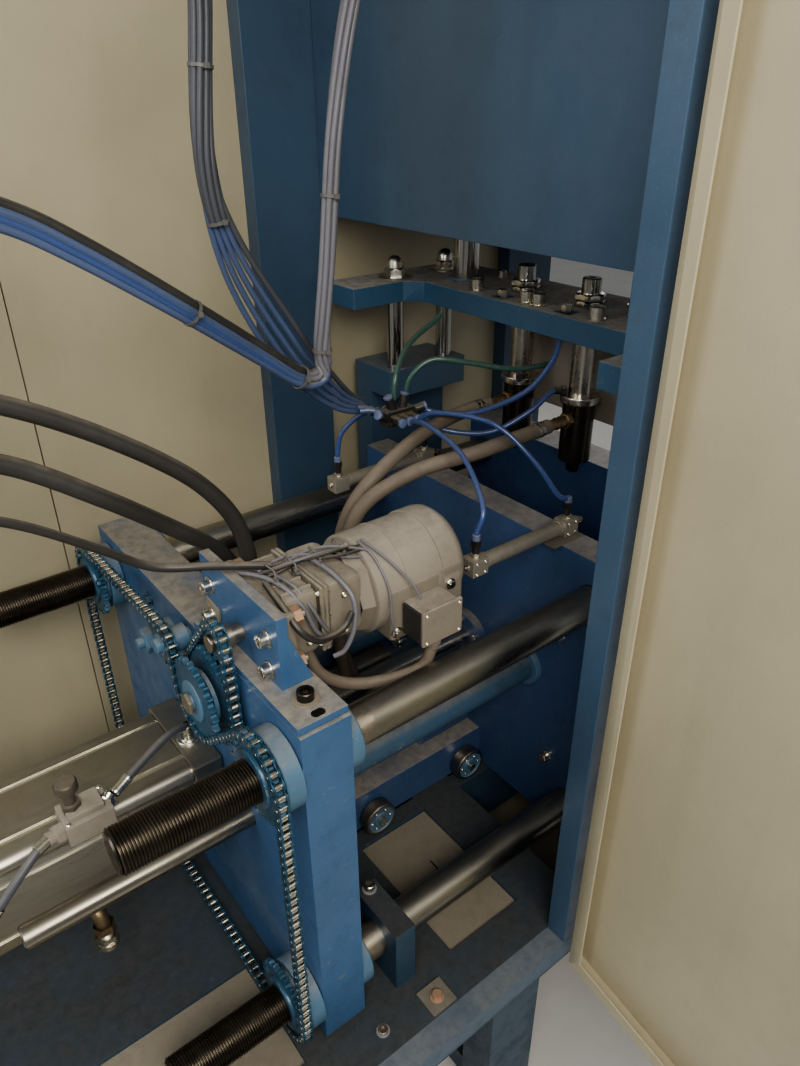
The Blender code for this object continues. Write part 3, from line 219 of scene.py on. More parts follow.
# Near black: painted shade, laid as a thin sheet on the terminal box's side facing -X.
CASE_PAINTED_SHADE = finish("casing_painted_shade_side", (0.035, 0.033, 0.03), (0.45, 0.7), grime=0.4, vary=0.2, bump=0.2)
ALLOY = finish("drawn_aluminium", (0.44, 0.42, 0.36), (0.26, 0.46), 1.0, dust=0.35, vary=0.08,
    stretch=(0.12, 1.0, 1.0))
ALLOY_DUSTY = finish("dusty_aluminium", (0.4, 0.365, 0.3), (0.34, 0.52), 0.55, dust=0.55, vary=0.1, bump=0.15)
# Pale bright alloy: its own colour on the port rings, and painted highlight in the barrel's slots where lit
# edges show.
BRIGHT_ALLOY_AND_HIGHLIGHT = finish("bright_alloy_and_painted_highlight", (0.7, 0.68, 0.6), (0.22, 0.4), 1.0, grime=0.15, vary=0.06,
    stretch=(0.12, 1.0, 1.0))
# Its dust on top faces is partly real dust and partly painted highlight along the tops of the hoses.
RUBBER = finish("black_rubber_hose", (0.036, 0.034, 0.031), (0.38, 0.56), grime=0.25, dust=0.6, vary=0.2,
    bump=0.2, grime_color=(0.09, 0.085, 0.07, 1.0))
CABLE = finish("black_cable", (0.03, 0.028, 0.026), (0.35, 0.55), grime=0.25, dust=0.55, vary=0.2, bump=0.08)
SLEEVE = finish("grey_conduit", (0.15, 0.148, 0.165), (0.4, 0.6), grime=0.25, dust=0.3, bump=0.1)
SHEATH = finish("dark_bundle_tube", (0.07, 0.074, 0.086), (0.38, 0.58), dust=0.3, vary=0.15, bump=0.1)
FADED = finish("faded_air_tube", (0.072, 0.102, 0.19), (0.26, 0.46), grime=0.2, dust=0.35, vary=0.15,
    bump=0.05, coat=0.2)
WATER = finish("dusty_water_hose", (0.155, 0.125, 0.095), (0.55, 0.75), grime=0.25, dust=0.35, vary=0.15,
    bump=0.3)
TUBE = finish("blue_air_tube", (0.044, 0.078, 0.205), (0.18, 0.34), grime=0.12, dust=0.22, bump=0.03,
    coat=0.3)
GREEN = finish("green_air_tube", (0.042, 0.1, 0.082), (0.2, 0.36), grime=0.12, dust=0.18, bump=0.03, coat=0.3)
PLASTIC = finish("black_fitting", (0.02, 0.02, 0.02), (0.35, 0.55), grime=0.25, dust=0.45, vary=0.15,
    bump=0.08)
RING = finish("blue_grey_ring", (0.12, 0.15, 0.26), (0.35, 0.55), grime=0.2, dust=0.3, bump=0.08)
TIE = finish("cable_tie", (0.13, 0.125, 0.118), (0.4, 0.6), dust=0.3, vary=0.1, bump=0.05)
TRAY = finish("tray_beige", (0.205, 0.18, 0.135), (0.55, 0.75), grime_color=(0.09, 0.075, 0.055, 1.0),
    dust=0.2, vary=0.16, bump=0.2)
KNOB = finish("dusty_knob", (0.125, 0.105, 0.08), (0.42, 0.62), 0.5, grime=0.4, dust=0.5, vary=0.15, bump=0.2)
BRASS = finish("dirty_brass", (0.33, 0.24, 0.14), (0.35, 0.6), 0.9, grime=0.45, vary=0.15, bump=0.2)
PIN_DARK = finish("oiled_dark_steel", (0.065, 0.058, 0.048), (0.24, 0.46), 0.9, grime=0.45, vary=0.25,
    bump=0.2)
PIN_BRIGHT = finish("ground_steel", (0.56, 0.52, 0.45), (0.24, 0.42), 1.0, grime=0.35, vary=0.1, bump=0.1)
PLATE_GREY = finish("dusty_grey_plate", (0.16, 0.15, 0.125), (0.5, 0.7), 0.3, grime=0.35, dust=0.4, vary=0.15,
    bump=0.2)


# Meshes

AHEAD, BACKWARD = (1, 0, 0), (-1, 0, 0)  # AHEAD is towards the blow pins
NEARER, FARTHER = (0, -1, 0), (0, 1, 0)  # NEARER is towards the operator
UP, DOWN = (0, 0, 1), (0, 0, -1)
SIDES = {"near": -1, "far": 1}  # of Y, by the names of the nodes


def mm(value):
    """Millimetres, or nested tuples of them, as metres."""
    return tuple(mm(part) for part in value) if isinstance(value, tuple) else value / 1000


def turned(direction, place=(0.0, 0.0, 0.0)):
    """Takes +Z to direction and the origin to place."""
    swing = Vector(UP).rotation_difference(Vector(direction)).to_matrix().to_4x4()
    return Matrix.Translation(place) @ swing


def along_x(y, z):
    """Takes +Z to +X, on the line at y and z."""
    return turned(AHEAD, (0.0, y, z))


def round_about(step, count, start=0.0):
    """The cosine and the sine of one of count equal steps of a full turn."""
    angle = start + 2 * math.pi * step / count
    return math.cos(angle), math.sin(angle)


def polar(radius, angle):
    return radius * math.cos(angle), radius * math.sin(angle)


def heading_at(route, index, reach=1):
    """The direction of a route at one of its points, from its neighbours reach points away."""
    return (route[min(index + reach, len(route) - 1)] - route[max(index - reach, 0)]).normalized()


SMOOTH_BELOW_DEG = 38.0


class Piece:
    """Collects parts with their own materials into one object."""

    def __init__(self, name):
        self.name = name
        self.points = []
        self.faces = []
        self.face_materials = []
        self.materials = []

    def take(self, points, faces, material, move=None):
        if material not in self.materials:
            self.materials.append(material)
        index = self.materials.index(material)
        start = len(self.points)
        if move is None:
            self.points += [Vector(p) for p in points]
        else:
            self.points += [move @ Vector(p) for p in points]
        self.faces += [[start + i for i in face] for face in faces]
        self.face_materials += [index] * len(faces)
        return self

    def box(self, low, high, material, edge=0.0012, move=None):
        made = bmesh.new()
        low, high = Vector(low), Vector(high)
        size = high - low
        bmesh.ops.create_cube(made, size=1.0)
        for v in made.verts:
            v.co = Vector((v.co[i] * size[i] + (low[i] + high[i]) / 2 for i in range(3)))
        if edge:
            edge = min(edge, min(size) * 0.4)
            bmesh.ops.bevel(made, geom=list(made.edges), offset=edge, segments=2, profile=0.5, affect="EDGES")
        return self.melt(made, material, move)

    def cube(self, middle, half, material, edge=0.0012):
        """A box by its middle and its half sizes."""
        return self.box(Vector(middle) - Vector(half), Vector(middle) + Vector(half), material, edge)

    def melt(self, made, material, move=None):
        made.verts.index_update()
        points = [v.co.copy() for v in made.verts]
        faces = [[v.index for v in f.verts] for f in made.faces]
        made.free()
        return self.take(points, faces, material, move)

    def prism(self, outline, low, high, material, edge=0.0, move=None):
        """outline in x and y, from z low to high."""
        made = bmesh.new()
        ring = [made.verts.new((x, y, low)) for x, y in outline]
        face = made.faces.new(ring)
        raised = bmesh.ops.extrude_face_region(made, geom=[face])
        for v in raised["geom"]:
            if isinstance(v, bmesh.types.BMVert):
                v.co.z = high
        bmesh.ops.recalc_face_normals(made, faces=list(made.faces))
        if edge:
            bmesh.ops.bevel(made, geom=list(made.edges), offset=edge, segments=2, profile=0.5, affect="EDGES")
        return self.melt(made, material, move)

    def lathe_mm(self, rings, material, move=None, sides=40):
        """As lathe, with heights and radii in millimetres."""
        return self.lathe([(mm(height), mm(radius), *flats) for height, radius, *flats in rings], material,
            move, sides)

    def lathe(self, rings, material, move=None, sides=40):
        """rings are (height, radius) or (height, flat radius, number of flats), turned about +Z."""
        points, faces = [], []
        rows = []
        for ring in rings:
            height, radius = ring[:2]
            flats = ring[2] if len(ring) > 2 else 0
            if radius == 0:
                rows.append([len(points)] * sides)
                points.append((0.0, 0.0, height))
                continue
            row = []
            for step in range(sides):
                c, s = round_about(step, sides)
                reach = radius
                if flats:
                    part = 2 * math.pi / flats
                    reach = radius / math.cos((2 * math.pi * step / sides + part / 2) % part - part / 2)
                row.append(len(points))
                points.append((reach * c, reach * s, height))
            rows.append(row)
        for low, high in zip(rows, rows[1:]):
            for step in range(sides):
                after = (step + 1) % sides
                corners = [low[step], low[after], high[after], high[step]]
                face = [c for i, c in enumerate(corners) if c not in corners[:i]]
                if len(face) > 2:
                    faces.append(face)
        return self.take(points, faces, material, move)

    def tube(self, route, radius, material, sides=14, radii=None):
        """A round tube along a list of points, with closed ends."""
        route = [Vector(p) for p in route]
        points, faces = [], []
        heading = (route[1] - route[0]).normalized()
        side = heading.orthogonal().normalized()
        count = len(route)
        for index, place in enumerate(route):
            new_heading = heading_at(route, index)
            side = heading.rotation_difference(new_heading) @ side
            side = (side - new_heading * side.dot(new_heading)).normalized()
            heading = new_heading
            other = heading.cross(side)
            reach = radii[index] if radii else radius
            for step in range(sides):
                c, s = round_about(step, sides)
                points.append(place + (side * c + other * s) * reach)
        for index in range(count - 1):
            for step in range(sides):
                after = (step + 1) % sides
                a, b = index * sides, (index + 1) * sides
                faces.append([a + step, a + after, b + after, b + step])
        faces.append(list(range(sides))[::-1])
        faces.append([(count - 1) * sides + step for step in range(sides)])
        return self.take(points, faces, material)

    def thread(self, start, end, radius, pitch, depth, material, move, sides=40):
        """A screw thread along +Z with a true helix, start to end."""
        levels = ((0.0, radius - depth), (0.36, radius), (0.56, radius), (0.92, radius - depth))
        turns = int((end - start) / pitch) - 1
        points, faces = [], []
        rows = turns * len(levels)
        for row in range(rows + len(levels)):
            turn, level = divmod(row, len(levels))
            lift, reach = levels[level]
            for step in range(sides):
                c, s = round_about(step, sides)
                points.append((reach * c, reach * s, start + pitch * (turn + lift + step / sides)))
        for row in range(rows - 1):
            for step in range(sides):
                if step < sides - 1:
                    a, b = row * sides + step, row * sides + step + 1
                else:
                    a, b = row * sides + step, (row + len(levels)) * sides
                faces.append([a, b, b + sides, a + sides])
        return self.take(points, faces, material, move)

    def done(self, body=None, slot=None, replaces=(), bend=None):
        """Makes the object. It rides on body, or, when bend (bodies and places) is given, has its transform
        baked in and rides on no body; what bend holds is not read.
        """
        mesh = bpy.data.meshes.new(self.name)
        mesh.from_pydata([tuple(p) for p in self.points], [], self.faces)
        for material in self.materials:
            mesh.materials.append(material)
        mesh.polygons.foreach_set("material_index", self.face_materials)
        tidy = bmesh.new()
        tidy.from_mesh(mesh)
        bmesh.ops.dissolve_degenerate(tidy, dist=1e-6, edges=list(tidy.edges))
        bmesh.ops.recalc_face_normals(tidy, faces=list(tidy.faces))
        tidy.to_mesh(mesh)
        tidy.free()
        mesh.shade_smooth()
        mesh.set_sharp_from_angle(angle=math.radians(SMOOTH_BELOW_DEG))
        mesh.update()
        obj = bpy.data.objects.new(self.name, mesh)
        bpy.context.scene.collection.objects.link(obj)
        even = obj.modifiers.new("even_normals", "WEIGHTED_NORMAL")
        even.keep_sharp = True
        if bend:
            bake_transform(obj)
        else:
            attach(obj, body)
        if replaces:
            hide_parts(*replaces)
        return obj


def smooth_route(points, spacing):
    """A curve through the points, as places about spacing apart."""
    points = [Vector(p) for p in points]
    ends = [2 * points[0] - points[1]] + points + [2 * points[-1] - points[-2]]
    fine = []
    for a, b, c, d in zip(ends, ends[1:], ends[2:], ends[3:]):
        for step in range(24):
            t = step / 24
            square, cube = 2 * a - 5 * b + 4 * c - d, 3 * b - a - 3 * c + d
            fine.append(0.5 * (2 * b + (c - a) * t + square * t * t + cube * t ** 3))
    fine.append(points[-1])
    total = sum((q - p).length for p, q in zip(fine, fine[1:]))
    count = max(2, round(total / spacing))
    placed, walked, index = [fine[0]], 0.0, 0
    for number in range(1, count):
        target = total * number / count
        while walked + (fine[index + 1] - fine[index]).length < target:
            walked += (fine[index + 1] - fine[index]).length
            index += 1
        step = (fine[index + 1] - fine[index]).length
        placed.append(fine[index].lerp(fine[index + 1], (target - walked) / step))
    placed.append(fine[-1])
    return placed


SUNK = 0.0005  # how far a head or washer reaches into the face under it


def socket_screw(piece, place, direction, radius, height, material=ZINC, washer=None, washer_material=ZINC):
    """A socket head cap screw standing on a face at place, with its washer under it."""
    move = turned(direction, place)
    lift = 0.0
    if washer:
        piece.lathe(((-SUNK, washer), (0.0022, washer), (0.0027, washer - 0.0006), (0.0027, 0.0)),
            washer_material, move, 32)
        lift = 0.0025
    top = lift + height
    flat = radius * 0.5
    piece.lathe(((-SUNK, radius), (top - 0.0012, radius), (top, radius - 0.0012), (top, flat * 1.02, 6),
        (top - 0.0008, flat, 6), (top - height * 0.6, flat, 6), (top - height * 0.62, 0.0)), material, move,
        36)


def hex_head(piece, place, direction, flat, height, material=ZINC, washer=None, washer_material=ZINC):
    move = turned(direction, place)
    lift = 0.0
    if washer:
        piece.lathe(((-SUNK, washer), (0.002, washer), (0.0024, washer - 0.0006), (0.0024, 0.0)),
            washer_material, move, 32)
        lift = 0.0022
    top = lift + height
    piece.lathe(((-SUNK, flat, 6), (top - flat * 0.16, flat, 6), (top, flat * 0.93), (top, 0.0)), material,
        move, 36)


# Chains and sprockets

PITCH = 0.015875
MAIN_X = -0.397
DRIVE_X = -0.372
TIE_Y, TIE_LOW_Z, TIE_HIGH_Z = 0.3, 0.583, 1.061
CENTRAL = (-0.125, 1.07)
IDLER = (-0.028, 1.112)
MOTOR = (-0.165, 1.184)
NUT_TEETH, IDLER_TEETH, DRIVEN_TEETH, MOTOR_TEETH = 24, 12, 28, 10


def pitch_radius(teeth):
    return PITCH / (2 * math.sin(math.pi / teeth))


def belt_path(pulleys):
    pieces = []
    normals = []
    for (y1, z1, r1, s1), (y2, z2, r2, s2) in zip(pulleys, pulleys[1:] + pulleys[:1]):
        along = Vector((y2 - y1, z2 - z1))
        beta = math.acos((s1 * r1 - s2 * r2) / along.length)
        normals.append(math.atan2(along.y, along.x) - beta)
    for index, (y, z, radius, sense) in enumerate(pulleys):
        into, out = normals[index - 1], normals[index]
        sweep = (out - into) % (2 * math.pi) if sense > 0 else -((into - out) % (2 * math.pi))
        flip = 0 if sense > 0 else math.pi
        pieces.append(("arc", Vector((y, z)), radius, into + flip, sweep))
        after = pulleys[(index + 1) % len(pulleys)]
        normal = Vector((math.cos(out), math.sin(out)))
        start = Vector((y, z)) + normal * radius * sense
        end = Vector(after[:2]) + normal * after[2] * after[3]
        pieces.append(("run", start, end, normal))
    return pieces


def belt_length(pieces):
    return sum(abs(p[4]) * p[2] if p[0] == "arc" else (p[2] - p[1]).length for p in pieces)


def belt_point(pieces, distance):
    for piece in pieces:
        if piece[0] == "arc":
            _, centre, radius, start, sweep = piece
            length = abs(sweep) * radius
            if distance <= length:
                angle = start + sweep * distance / length
                return centre + Vector((math.cos(angle), math.sin(angle))) * radius
        else:
            _, start, end, _normal = piece
            length = (end - start).length
            if distance <= length:
                return start.lerp(end, distance / length)
        distance -= length
    return belt_point(pieces, 0.0)


LINK_END_R, LINK_WAIST, LINK_T = 0.0072, 0.005, 0.0014
INNER_LINK_X, OUTER_LINK_X = 0.00485, 0.0065  # of a side plate's inner face, from the chain's middle plane
ROLLER_R = 0.0051


def link_outline(length):
    """One chain side plate, from the pin at 0 to the pin at length along u."""
    near_end = [polar(LINK_END_R, math.radians(degrees)) for degrees in range(60, 301, 30)]
    far_end = [polar(LINK_END_R, math.radians(degrees)) for degrees in range(-120, 121, 30)]
    return [(length + u, v) for u, v in far_end] + [(length / 2, LINK_WAIST), *near_end,
        (length / 2, -LINK_WAIST)]


def roller_chain(name, pulleys, plane_x, replaced):
    path = belt_path(pulleys)
    length = belt_length(path)
    links = 2 * round(length / PITCH / 2)
    pins = [belt_point(path, number * length / links) for number in range(links)]
    piece = Piece(name)
    for number, pin in enumerate(pins):
        along = pins[(number + 1) % links] - pin
        reach = along.length
        along = along / reach
        across = Vector((-along.y, along.x))
        flats = [pin + along * u + across * v for u, v in link_outline(reach)]
        count = len(flats)
        faces = [list(range(count)), [count + i for i in range(count)][::-1]]
        faces += [[i, (i + 1) % count, count + (i + 1) % count, count + i] for i in range(count)]
        near = INNER_LINK_X if number % 2 else OUTER_LINK_X
        for side in (-1, 1):
            faces_x = (plane_x + side * near, plane_x + side * (near + LINK_T))
            piece.take([(x, flat.x, flat.y) for x in faces_x for flat in flats], faces, LINK)
        move = turned(AHEAD, (plane_x, pin.x, pin.y))
        piece.lathe(((-0.0047, ROLLER_R), (0.0047, ROLLER_R)), ROLLER, move, 14)
        for way in (-1, 1):
            piece.lathe(((way * 0.0076, 0.0026), (way * 0.0084, 0.0022), (way * 0.0086, 0.0)), ROLLER, move,
                10)
    piece.done("rear_platen", "dark_steel", [replaced])
    return pins


def tooth_phase(pins, centre, radius):
    """The angle of a chain roller seated on the sprocket at centre."""
    centre = Vector(centre)
    seated = [pin - centre for pin in pins if abs((pin - centre).length - radius) < 0.0004]
    middle = seated[len(seated) // 2]
    return math.atan2(middle.y, middle.x)


def sprocket_outline(teeth, phase, clip=None):
    """The teeth's outline round the origin, cut down to the radius clip if there is one."""
    pitch_r = pitch_radius(teeth)
    shoulder, crown = 0.66 * math.pi / teeth, 0.88 * math.pi / teeth
    flank, tip = pitch_r + 0.0022, pitch_r + 0.005
    seat = [polar(ROLLER_R + 0.0001, math.radians(degrees)) for degrees in (-118, -150, 180, 150, 118)]
    tooth = [polar(tip, -crown), polar(flank, -shoulder), *((pitch_r + u, v) for u, v in seat),
        polar(flank, shoulder), polar(tip, crown)]
    if clip:
        cuts = [min(1.0, clip / math.hypot(u, v)) for u, v in tooth]
        tooth = [(u * cut, v * cut) for (u, v), cut in zip(tooth, cuts)]
    outline = []
    for number in range(teeth):
        c, s = round_about(number, teeth, phase)
        outline += [(u * c - v * s, u * s + v * c) for u, v in tooth]
    return outline


DISC_HALF, RELIEF_FROM = 0.0044, 0.003


def toothed_disc(piece, teeth, phase, plane_x, centre, bore):
    """A sprocket disc with relieved tooth tips and an open bore."""
    clip = pitch_radius(teeth) + 0.003
    levels = ((-DISC_HALF, clip), (-RELIEF_FROM, None), (RELIEF_FROM, None), (DISC_HALF, clip))
    rows = [[(plane_x + lift, centre[0] + y, centre[1] + z) for y,
        z in sprocket_outline(teeth, phase, limit)] for lift, limit in levels]
    inward = [((y - centre[0]) / math.hypot(y - centre[0], z - centre[1]),
        (z - centre[1]) / math.hypot(y - centre[0], z - centre[1])) for _, y, z in rows[0]]
    low_bore, high_bore = ([(plane_x + lift, centre[0] + y * bore, centre[1] + z * bore) for y,
        z in inward] for lift in (-DISC_HALF, DISC_HALF))
    rows = [low_bore, *rows, high_bore]
    count = len(inward)
    faces = []
    for row in range(len(rows)):
        low, high = row * count, ((row + 1) % len(rows)) * count
        for index in range(count):
            after = (index + 1) % count
            faces.append([low + index, low + after, high + after, high + index])
    piece.take([point for row in rows for point in row], faces, SPROCKET)


R24, R12, R28, R10 = (pitch_radius(n) for n in (NUT_TEETH, IDLER_TEETH, DRIVEN_TEETH, MOTOR_TEETH))
NUTS = {"near_high": (-TIE_Y, TIE_HIGH_Z), "near_low": (-TIE_Y, TIE_LOW_Z), "far_low": (TIE_Y, TIE_LOW_Z),
    "far_high": (TIE_Y, TIE_HIGH_Z)}
main_pins = roller_chain("main_chain_detail",
    [(*place, R24, 1) for place in NUTS.values()] + [(*IDLER, R12, 1), (*CENTRAL, R24, -1)], MAIN_X,
    "main_chain")
drive_pins = roller_chain("drive_chain_detail", [(*MOTOR, R10, 1), (*CENTRAL, R28, 1)], DRIVE_X,
    "drive_chain")

for label, place in NUTS.items():
    nut = Piece(f"adjusting_nut_detail_{label}")
    toothed_disc(nut, NUT_TEETH, tooth_phase(main_pins, place, R24), MAIN_X, place, 0.0305)
    move = along_x(*place)
    nut.lathe_mm(((-406, 30.4), (-406, 41), (-404.5, 42.5), (-401, 43)), SPROCKET, move, 48)
    nut.lathe_mm(((-393, 47.5), (-384.6, 47.5), (-384.6, 56.8), (-383.2, 58), (-359.5, 58), (-359, 57.4),
        (-359, 31)), PAINT_LIGHT, move, 64)
    for turn in range(3):
        y, z = polar(0.052, math.radians(40 + 120 * turn))
        hex_head(nut, (-0.4012, place[0] + y, place[1] + z), BACKWARD, 0.005, 0.004, SPROCKET)
    nut.done(f"adjusting_nut_{label}", "blue_paint", [f"adjusting_nut_{label}"])


def shaft(node, centre, discs, turnings, slot="blue_paint"):
    """Sprockets as (teeth, phase, plane, bore), and what turns with them as (rings, material, sides)."""
    piece = Piece(f"{node}_detail")
    for teeth, phase, plane_x, bore in discs:
        toothed_disc(piece, teeth, phase, plane_x, centre, bore)
    for rings, material, sides in turnings:
        piece.lathe_mm(rings, material, along_x(*centre), sides)
    piece.done(node, slot, [node])


shaft("central_sprocket", CENTRAL, ((NUT_TEETH, tooth_phase(main_pins, CENTRAL, R24), MAIN_X, 0.019),
    (DRIVEN_TEETH, tooth_phase(drive_pins, CENTRAL, R28), DRIVE_X, 0.019)), ((((-412, 0), (-412, 10.5),
    (-410.5, 12), (-404.5, 12), (-404.5, 30), (-403, 32), (-386, 32), (-386, 40), (-380, 40), (-380, 21),
    (-363.6, 21), (-363.6, 12), (-330, 12), (-330, 0)), PAINT_LIGHT, 40), (((-413.5, 0), (-413.5, 16.5),
    (-412, 17.5), (-408.5, 17.5), (-408, 12)), WORN_STEEL, 6)))
shaft("idler_sprocket", IDLER, ((IDLER_TEETH, tooth_phase(main_pins, IDLER, R12), MAIN_X, 0.0115),),
    ((((-412, 0), (-412, 10.5), (-410.5, 12), (-404.5, 12), (-404.5, 17), (-401, 17.5), (-393, 17.5),
    (-393, 20), (-363.6, 20), (-363.6, 12), (-330, 12), (-330, 0)), PAINT_LIGHT, 40),))
shaft("motor_sprocket", MOTOR, ((MOTOR_TEETH, tooth_phase(drive_pins, MOTOR, R10), DRIVE_X, 0.012),),
    ((((-384, 0), (-384, 11.5), (-383, 12.5), (-366, 12.5), (-366, 17.5), (-351, 17.5), (-351, 12.5),
    (-280, 12.5), (-280, 0)), WORN_STEEL, 36),), "dark_steel")


# Tie bars, guide rods, piston rod

FRONT_FACE_X = 0.637
BAR_R, BAR_PITCH = 0.03, 0.004  # M60 x 4
for label, (y, z) in NUTS.items():
    bar = Piece(f"tie_bar_detail_{label}")
    move = along_x(y, z)
    bar.lathe_mm(((-586, 0), (-586, 25.5), (-583.5, 27.9)), THREAD, move, 48)
    bar.thread(-0.585, -0.35, BAR_R, BAR_PITCH, 0.0021, THREAD, move, 48)
    bar.lathe_mm(((-356, 28.2), (-354.5, 30), (-283.5, 30)), WORN_STEEL, move, 48)
    bar.lathe_mm(((-283.5, 30), (-230, 30)), WORN_STEEL, move, 48)
    for number in range(13):  # tool marks
        at_mark = turned(AHEAD, (-0.256 + 0.0021 * number, y, z))
        bar.lathe_mm(((0, 29.8), (0.5, 30.1), (1, 30.1), (1.5, 29.8)), WORN_STEEL, at_mark, 48)
    bar.lathe(((-0.23, BAR_R), (FRONT_FACE_X + 0.001, BAR_R)), BAR, move, 64)
    on_face = turned(AHEAD, (FRONT_FACE_X + 0.0003, y, z))
    bar.lathe_mm(((0, 30), (0, 45, 6), (37, 45, 6), (40, 42.5), (40, 30)), WORN_STEEL, on_face, 48)
    bar.thread(0.037, 0.05, BAR_R, BAR_PITCH, 0.0019, THREAD, on_face, 48)
    bar.lathe_mm(((36, 28.2), (48.5, 28.2), (50, 26.5), (50, 0)), THREAD, on_face, 48)
    bar.done("frame", "polished_steel", [f"tie_bar_{label}"])

GUIDE_Y = 0.165
GUIDE_Z = {-1: 0.848, 1: 0.796}
MOVING_X = 0.245
for label, side in SIDES.items():
    rod = Piece(f"guide_rod_detail_{label}")
    move = along_x(side * GUIDE_Y, GUIDE_Z[side])
    rod.lathe_mm(((-696, 0), (-696, 15), (-693.5, 17.5), (-210, 17.5)), ROD_DARK, move, 48)
    rod.lathe(((-0.21, 0.0175), (-0.21, 0.029), (-0.2085, 0.03), (-0.17, 0.03), (-0.1695, 0.0294),
        (-0.169, 0.03), (MOVING_X - 0.0003, 0.03)), PAINT_SLEEVE, move, 56)
    rod.lathe_mm(((-696.5, 0), (-696.5, 4), (-695.5, 5.2)), PIN_DARK, move, 16)
    rod.done("moving_platen", "polished_steel", [f"guide_rod_{label}"])

MID_Z = 0.822
piston = Piece("piston_rod_detail")
at_mid = along_x(0.0, MID_Z)
piston.lathe_mm(((-543.3, 0), (-543.3, 78), (-541.3, 79.2), (-505.3, 79.2), (-503.3, 78), (-503.3, 25),
    (274, 25), (274, 0)), CHROME, at_mid, 56)
piston.done("moving_platen", "polished_steel", ["piston_rod"])


# Clamp cylinder

cylinder = Piece("clamp_cylinder_detail")
HALF = 0.088
ROUND = 0.02  # of the barrel's long edges
FRONT_CAP = (-0.4083, -0.3583)
BARREL = (-0.8583, -0.4083)
REAR_CAP = (-0.9083, -0.8583)


def barrel_outline():
    """One quarter at a time: flat side with the sides of an undercut T slot, rounded corner."""
    slot_low = HALF - 0.003
    quarter_line = [(-0.055, HALF), (-0.055, slot_low), (-0.045, slot_low), (-0.045, HALF), (0.045, HALF),
        (0.045, slot_low), (0.055, slot_low), (0.055, HALF)]
    for degrees in (90, 72, 54, 36, 18):
        u, v = polar(ROUND, math.radians(degrees))
        quarter_line.append((HALF - ROUND + u, HALF - ROUND + v))
    outline = []
    for quarter in range(4):
        c, s = round_about(quarter, 4)
        outline += [(u * c + v * s, -u * s + v * c) for u, v in quarter_line]
    return outline


# prism is in x and y along z, so it is turned to run along +X with its y axis up
TO_X = Matrix(((0.0, 0.0, 1.0, 0.0), (1.0, 0.0, 0.0, 0.0), (0.0, 1.0, 0.0, 0.0), (0.0, 0.0, 0.0, 1.0)))
cylinder.prism(barrel_outline(), BARREL[0], BARREL[1], ALLOY, 0.0,
    Matrix.Translation((0.0, 0.0, MID_Z)) @ TO_X)
# Strips of the pale alloy line the slots of the barrel: painted highlight.
for side in (-1, 1):
    for way in (-1, 1):
        for offset in (-0.05, 0.05):
            groove = side * (HALF - 0.0029)
            if way > 0:
                cylinder.box((BARREL[0], offset - 0.0045, MID_Z + groove - 0.0004),
                    (BARREL[1], offset + 0.0045, MID_Z + groove + 0.0008), BRIGHT_ALLOY_AND_HIGHLIGHT, 0.0)
            else:
                cylinder.box((BARREL[0], groove - 0.0006, MID_Z + offset - 0.0045),
                    (BARREL[1], groove + 0.0006, MID_Z + offset + 0.0045), BRIGHT_ALLOY_AND_HIGHLIGHT, 0.0)
CAP = HALF + 0.002
for low_x, high_x in (FRONT_CAP, REAR_CAP):
    cylinder.box((low_x, -CAP, MID_Z - CAP), (high_x, CAP, MID_Z + CAP), ALLOY, 0.004)
for y in (-0.068, 0.068):
    for z in (-0.068, 0.068):
        socket_screw(cylinder, (REAR_CAP[0], y, MID_Z + z), BACKWARD, 0.011, 0.01)
for x in (FRONT_CAP[0] + 0.025, REAR_CAP[1] - 0.025):
    port = turned(UP, (x, -0.021, MID_Z + CAP))
    cylinder.lathe_mm(((-1, 19.5), (2.4, 19.5), (3.4, 18.3), (3.4, 14)), BRIGHT_ALLOY_AND_HIGHLIGHT, port, 36)
    cylinder.lathe_mm(((3, 13.8), (5.2, 13.8), (6, 12.8), (6, 6, 6), (3, 5.8, 6), (3, 0)), ZINC, port, 36)
cylinder.done("rear_platen", "alloy", ["clamp_cylinder"])

pipe = Piece("cylinder_drain_union")
elbow = smooth_route(mm(((-600, -20, 742), (-600, -20, 722), (-596, -28, 706), (-590, -46, 700),
    (-588, -60, 697), (-586, -66, 686), (-585, -68, 668))), 0.005)
pipe.tube(elbow, 0.012, BRASS, 20)
pipe.lathe_mm(((0, 14.5, 6), (16, 14.5, 6), (18, 13), (18, 0)), BRASS, turned(DOWN, (-0.585, -0.068, 0.676)),
    36)
pipe.lathe_mm(((0, 12), (6, 12), (6, 16.5, 6), (18, 16.5, 6), (20, 15), (20, 19), (30, 19), (31, 18),
    (31, 13), (22, 13), (22, 0)), ZINC, turned(DOWN, (-0.585, -0.068, 0.658)), 36)
pipe.done("rear_platen", "alloy")

valve = Piece("flow_valve_detail")
LOW = MID_Z + HALF + 0.0003  # of the valve, just over the barrel
valve.box((-0.604, -0.12, LOW), (-0.536, -0.065, LOW + 0.036), CASE_SHEET, 0.003)
valve.box((-0.596, -0.112, LOW + 0.034), (-0.546, -0.073, LOW + 0.045), CASE_SHEET, 0.002)
elbow_at = Vector((-0.604, -0.102, LOW + 0.02))
valve.lathe_mm(((-2, 12.5, 6), (14, 12.5, 6), (15, 10), (24, 10), (25, 0)), CASE_SHEET,
    turned((-1.0, -0.25, 0.15), elbow_at), 36)
drop = smooth_route((elbow_at + Vector((-0.018, -0.004, 0.003)), elbow_at + Vector((-0.038, -0.012, 0.0)),
    elbow_at + Vector((-0.068, -0.024, -0.016)), elbow_at + Vector((-0.104, -0.034, -0.042))), 0.005)
valve.tube(drop, 0.0064, SHEATH, 18)
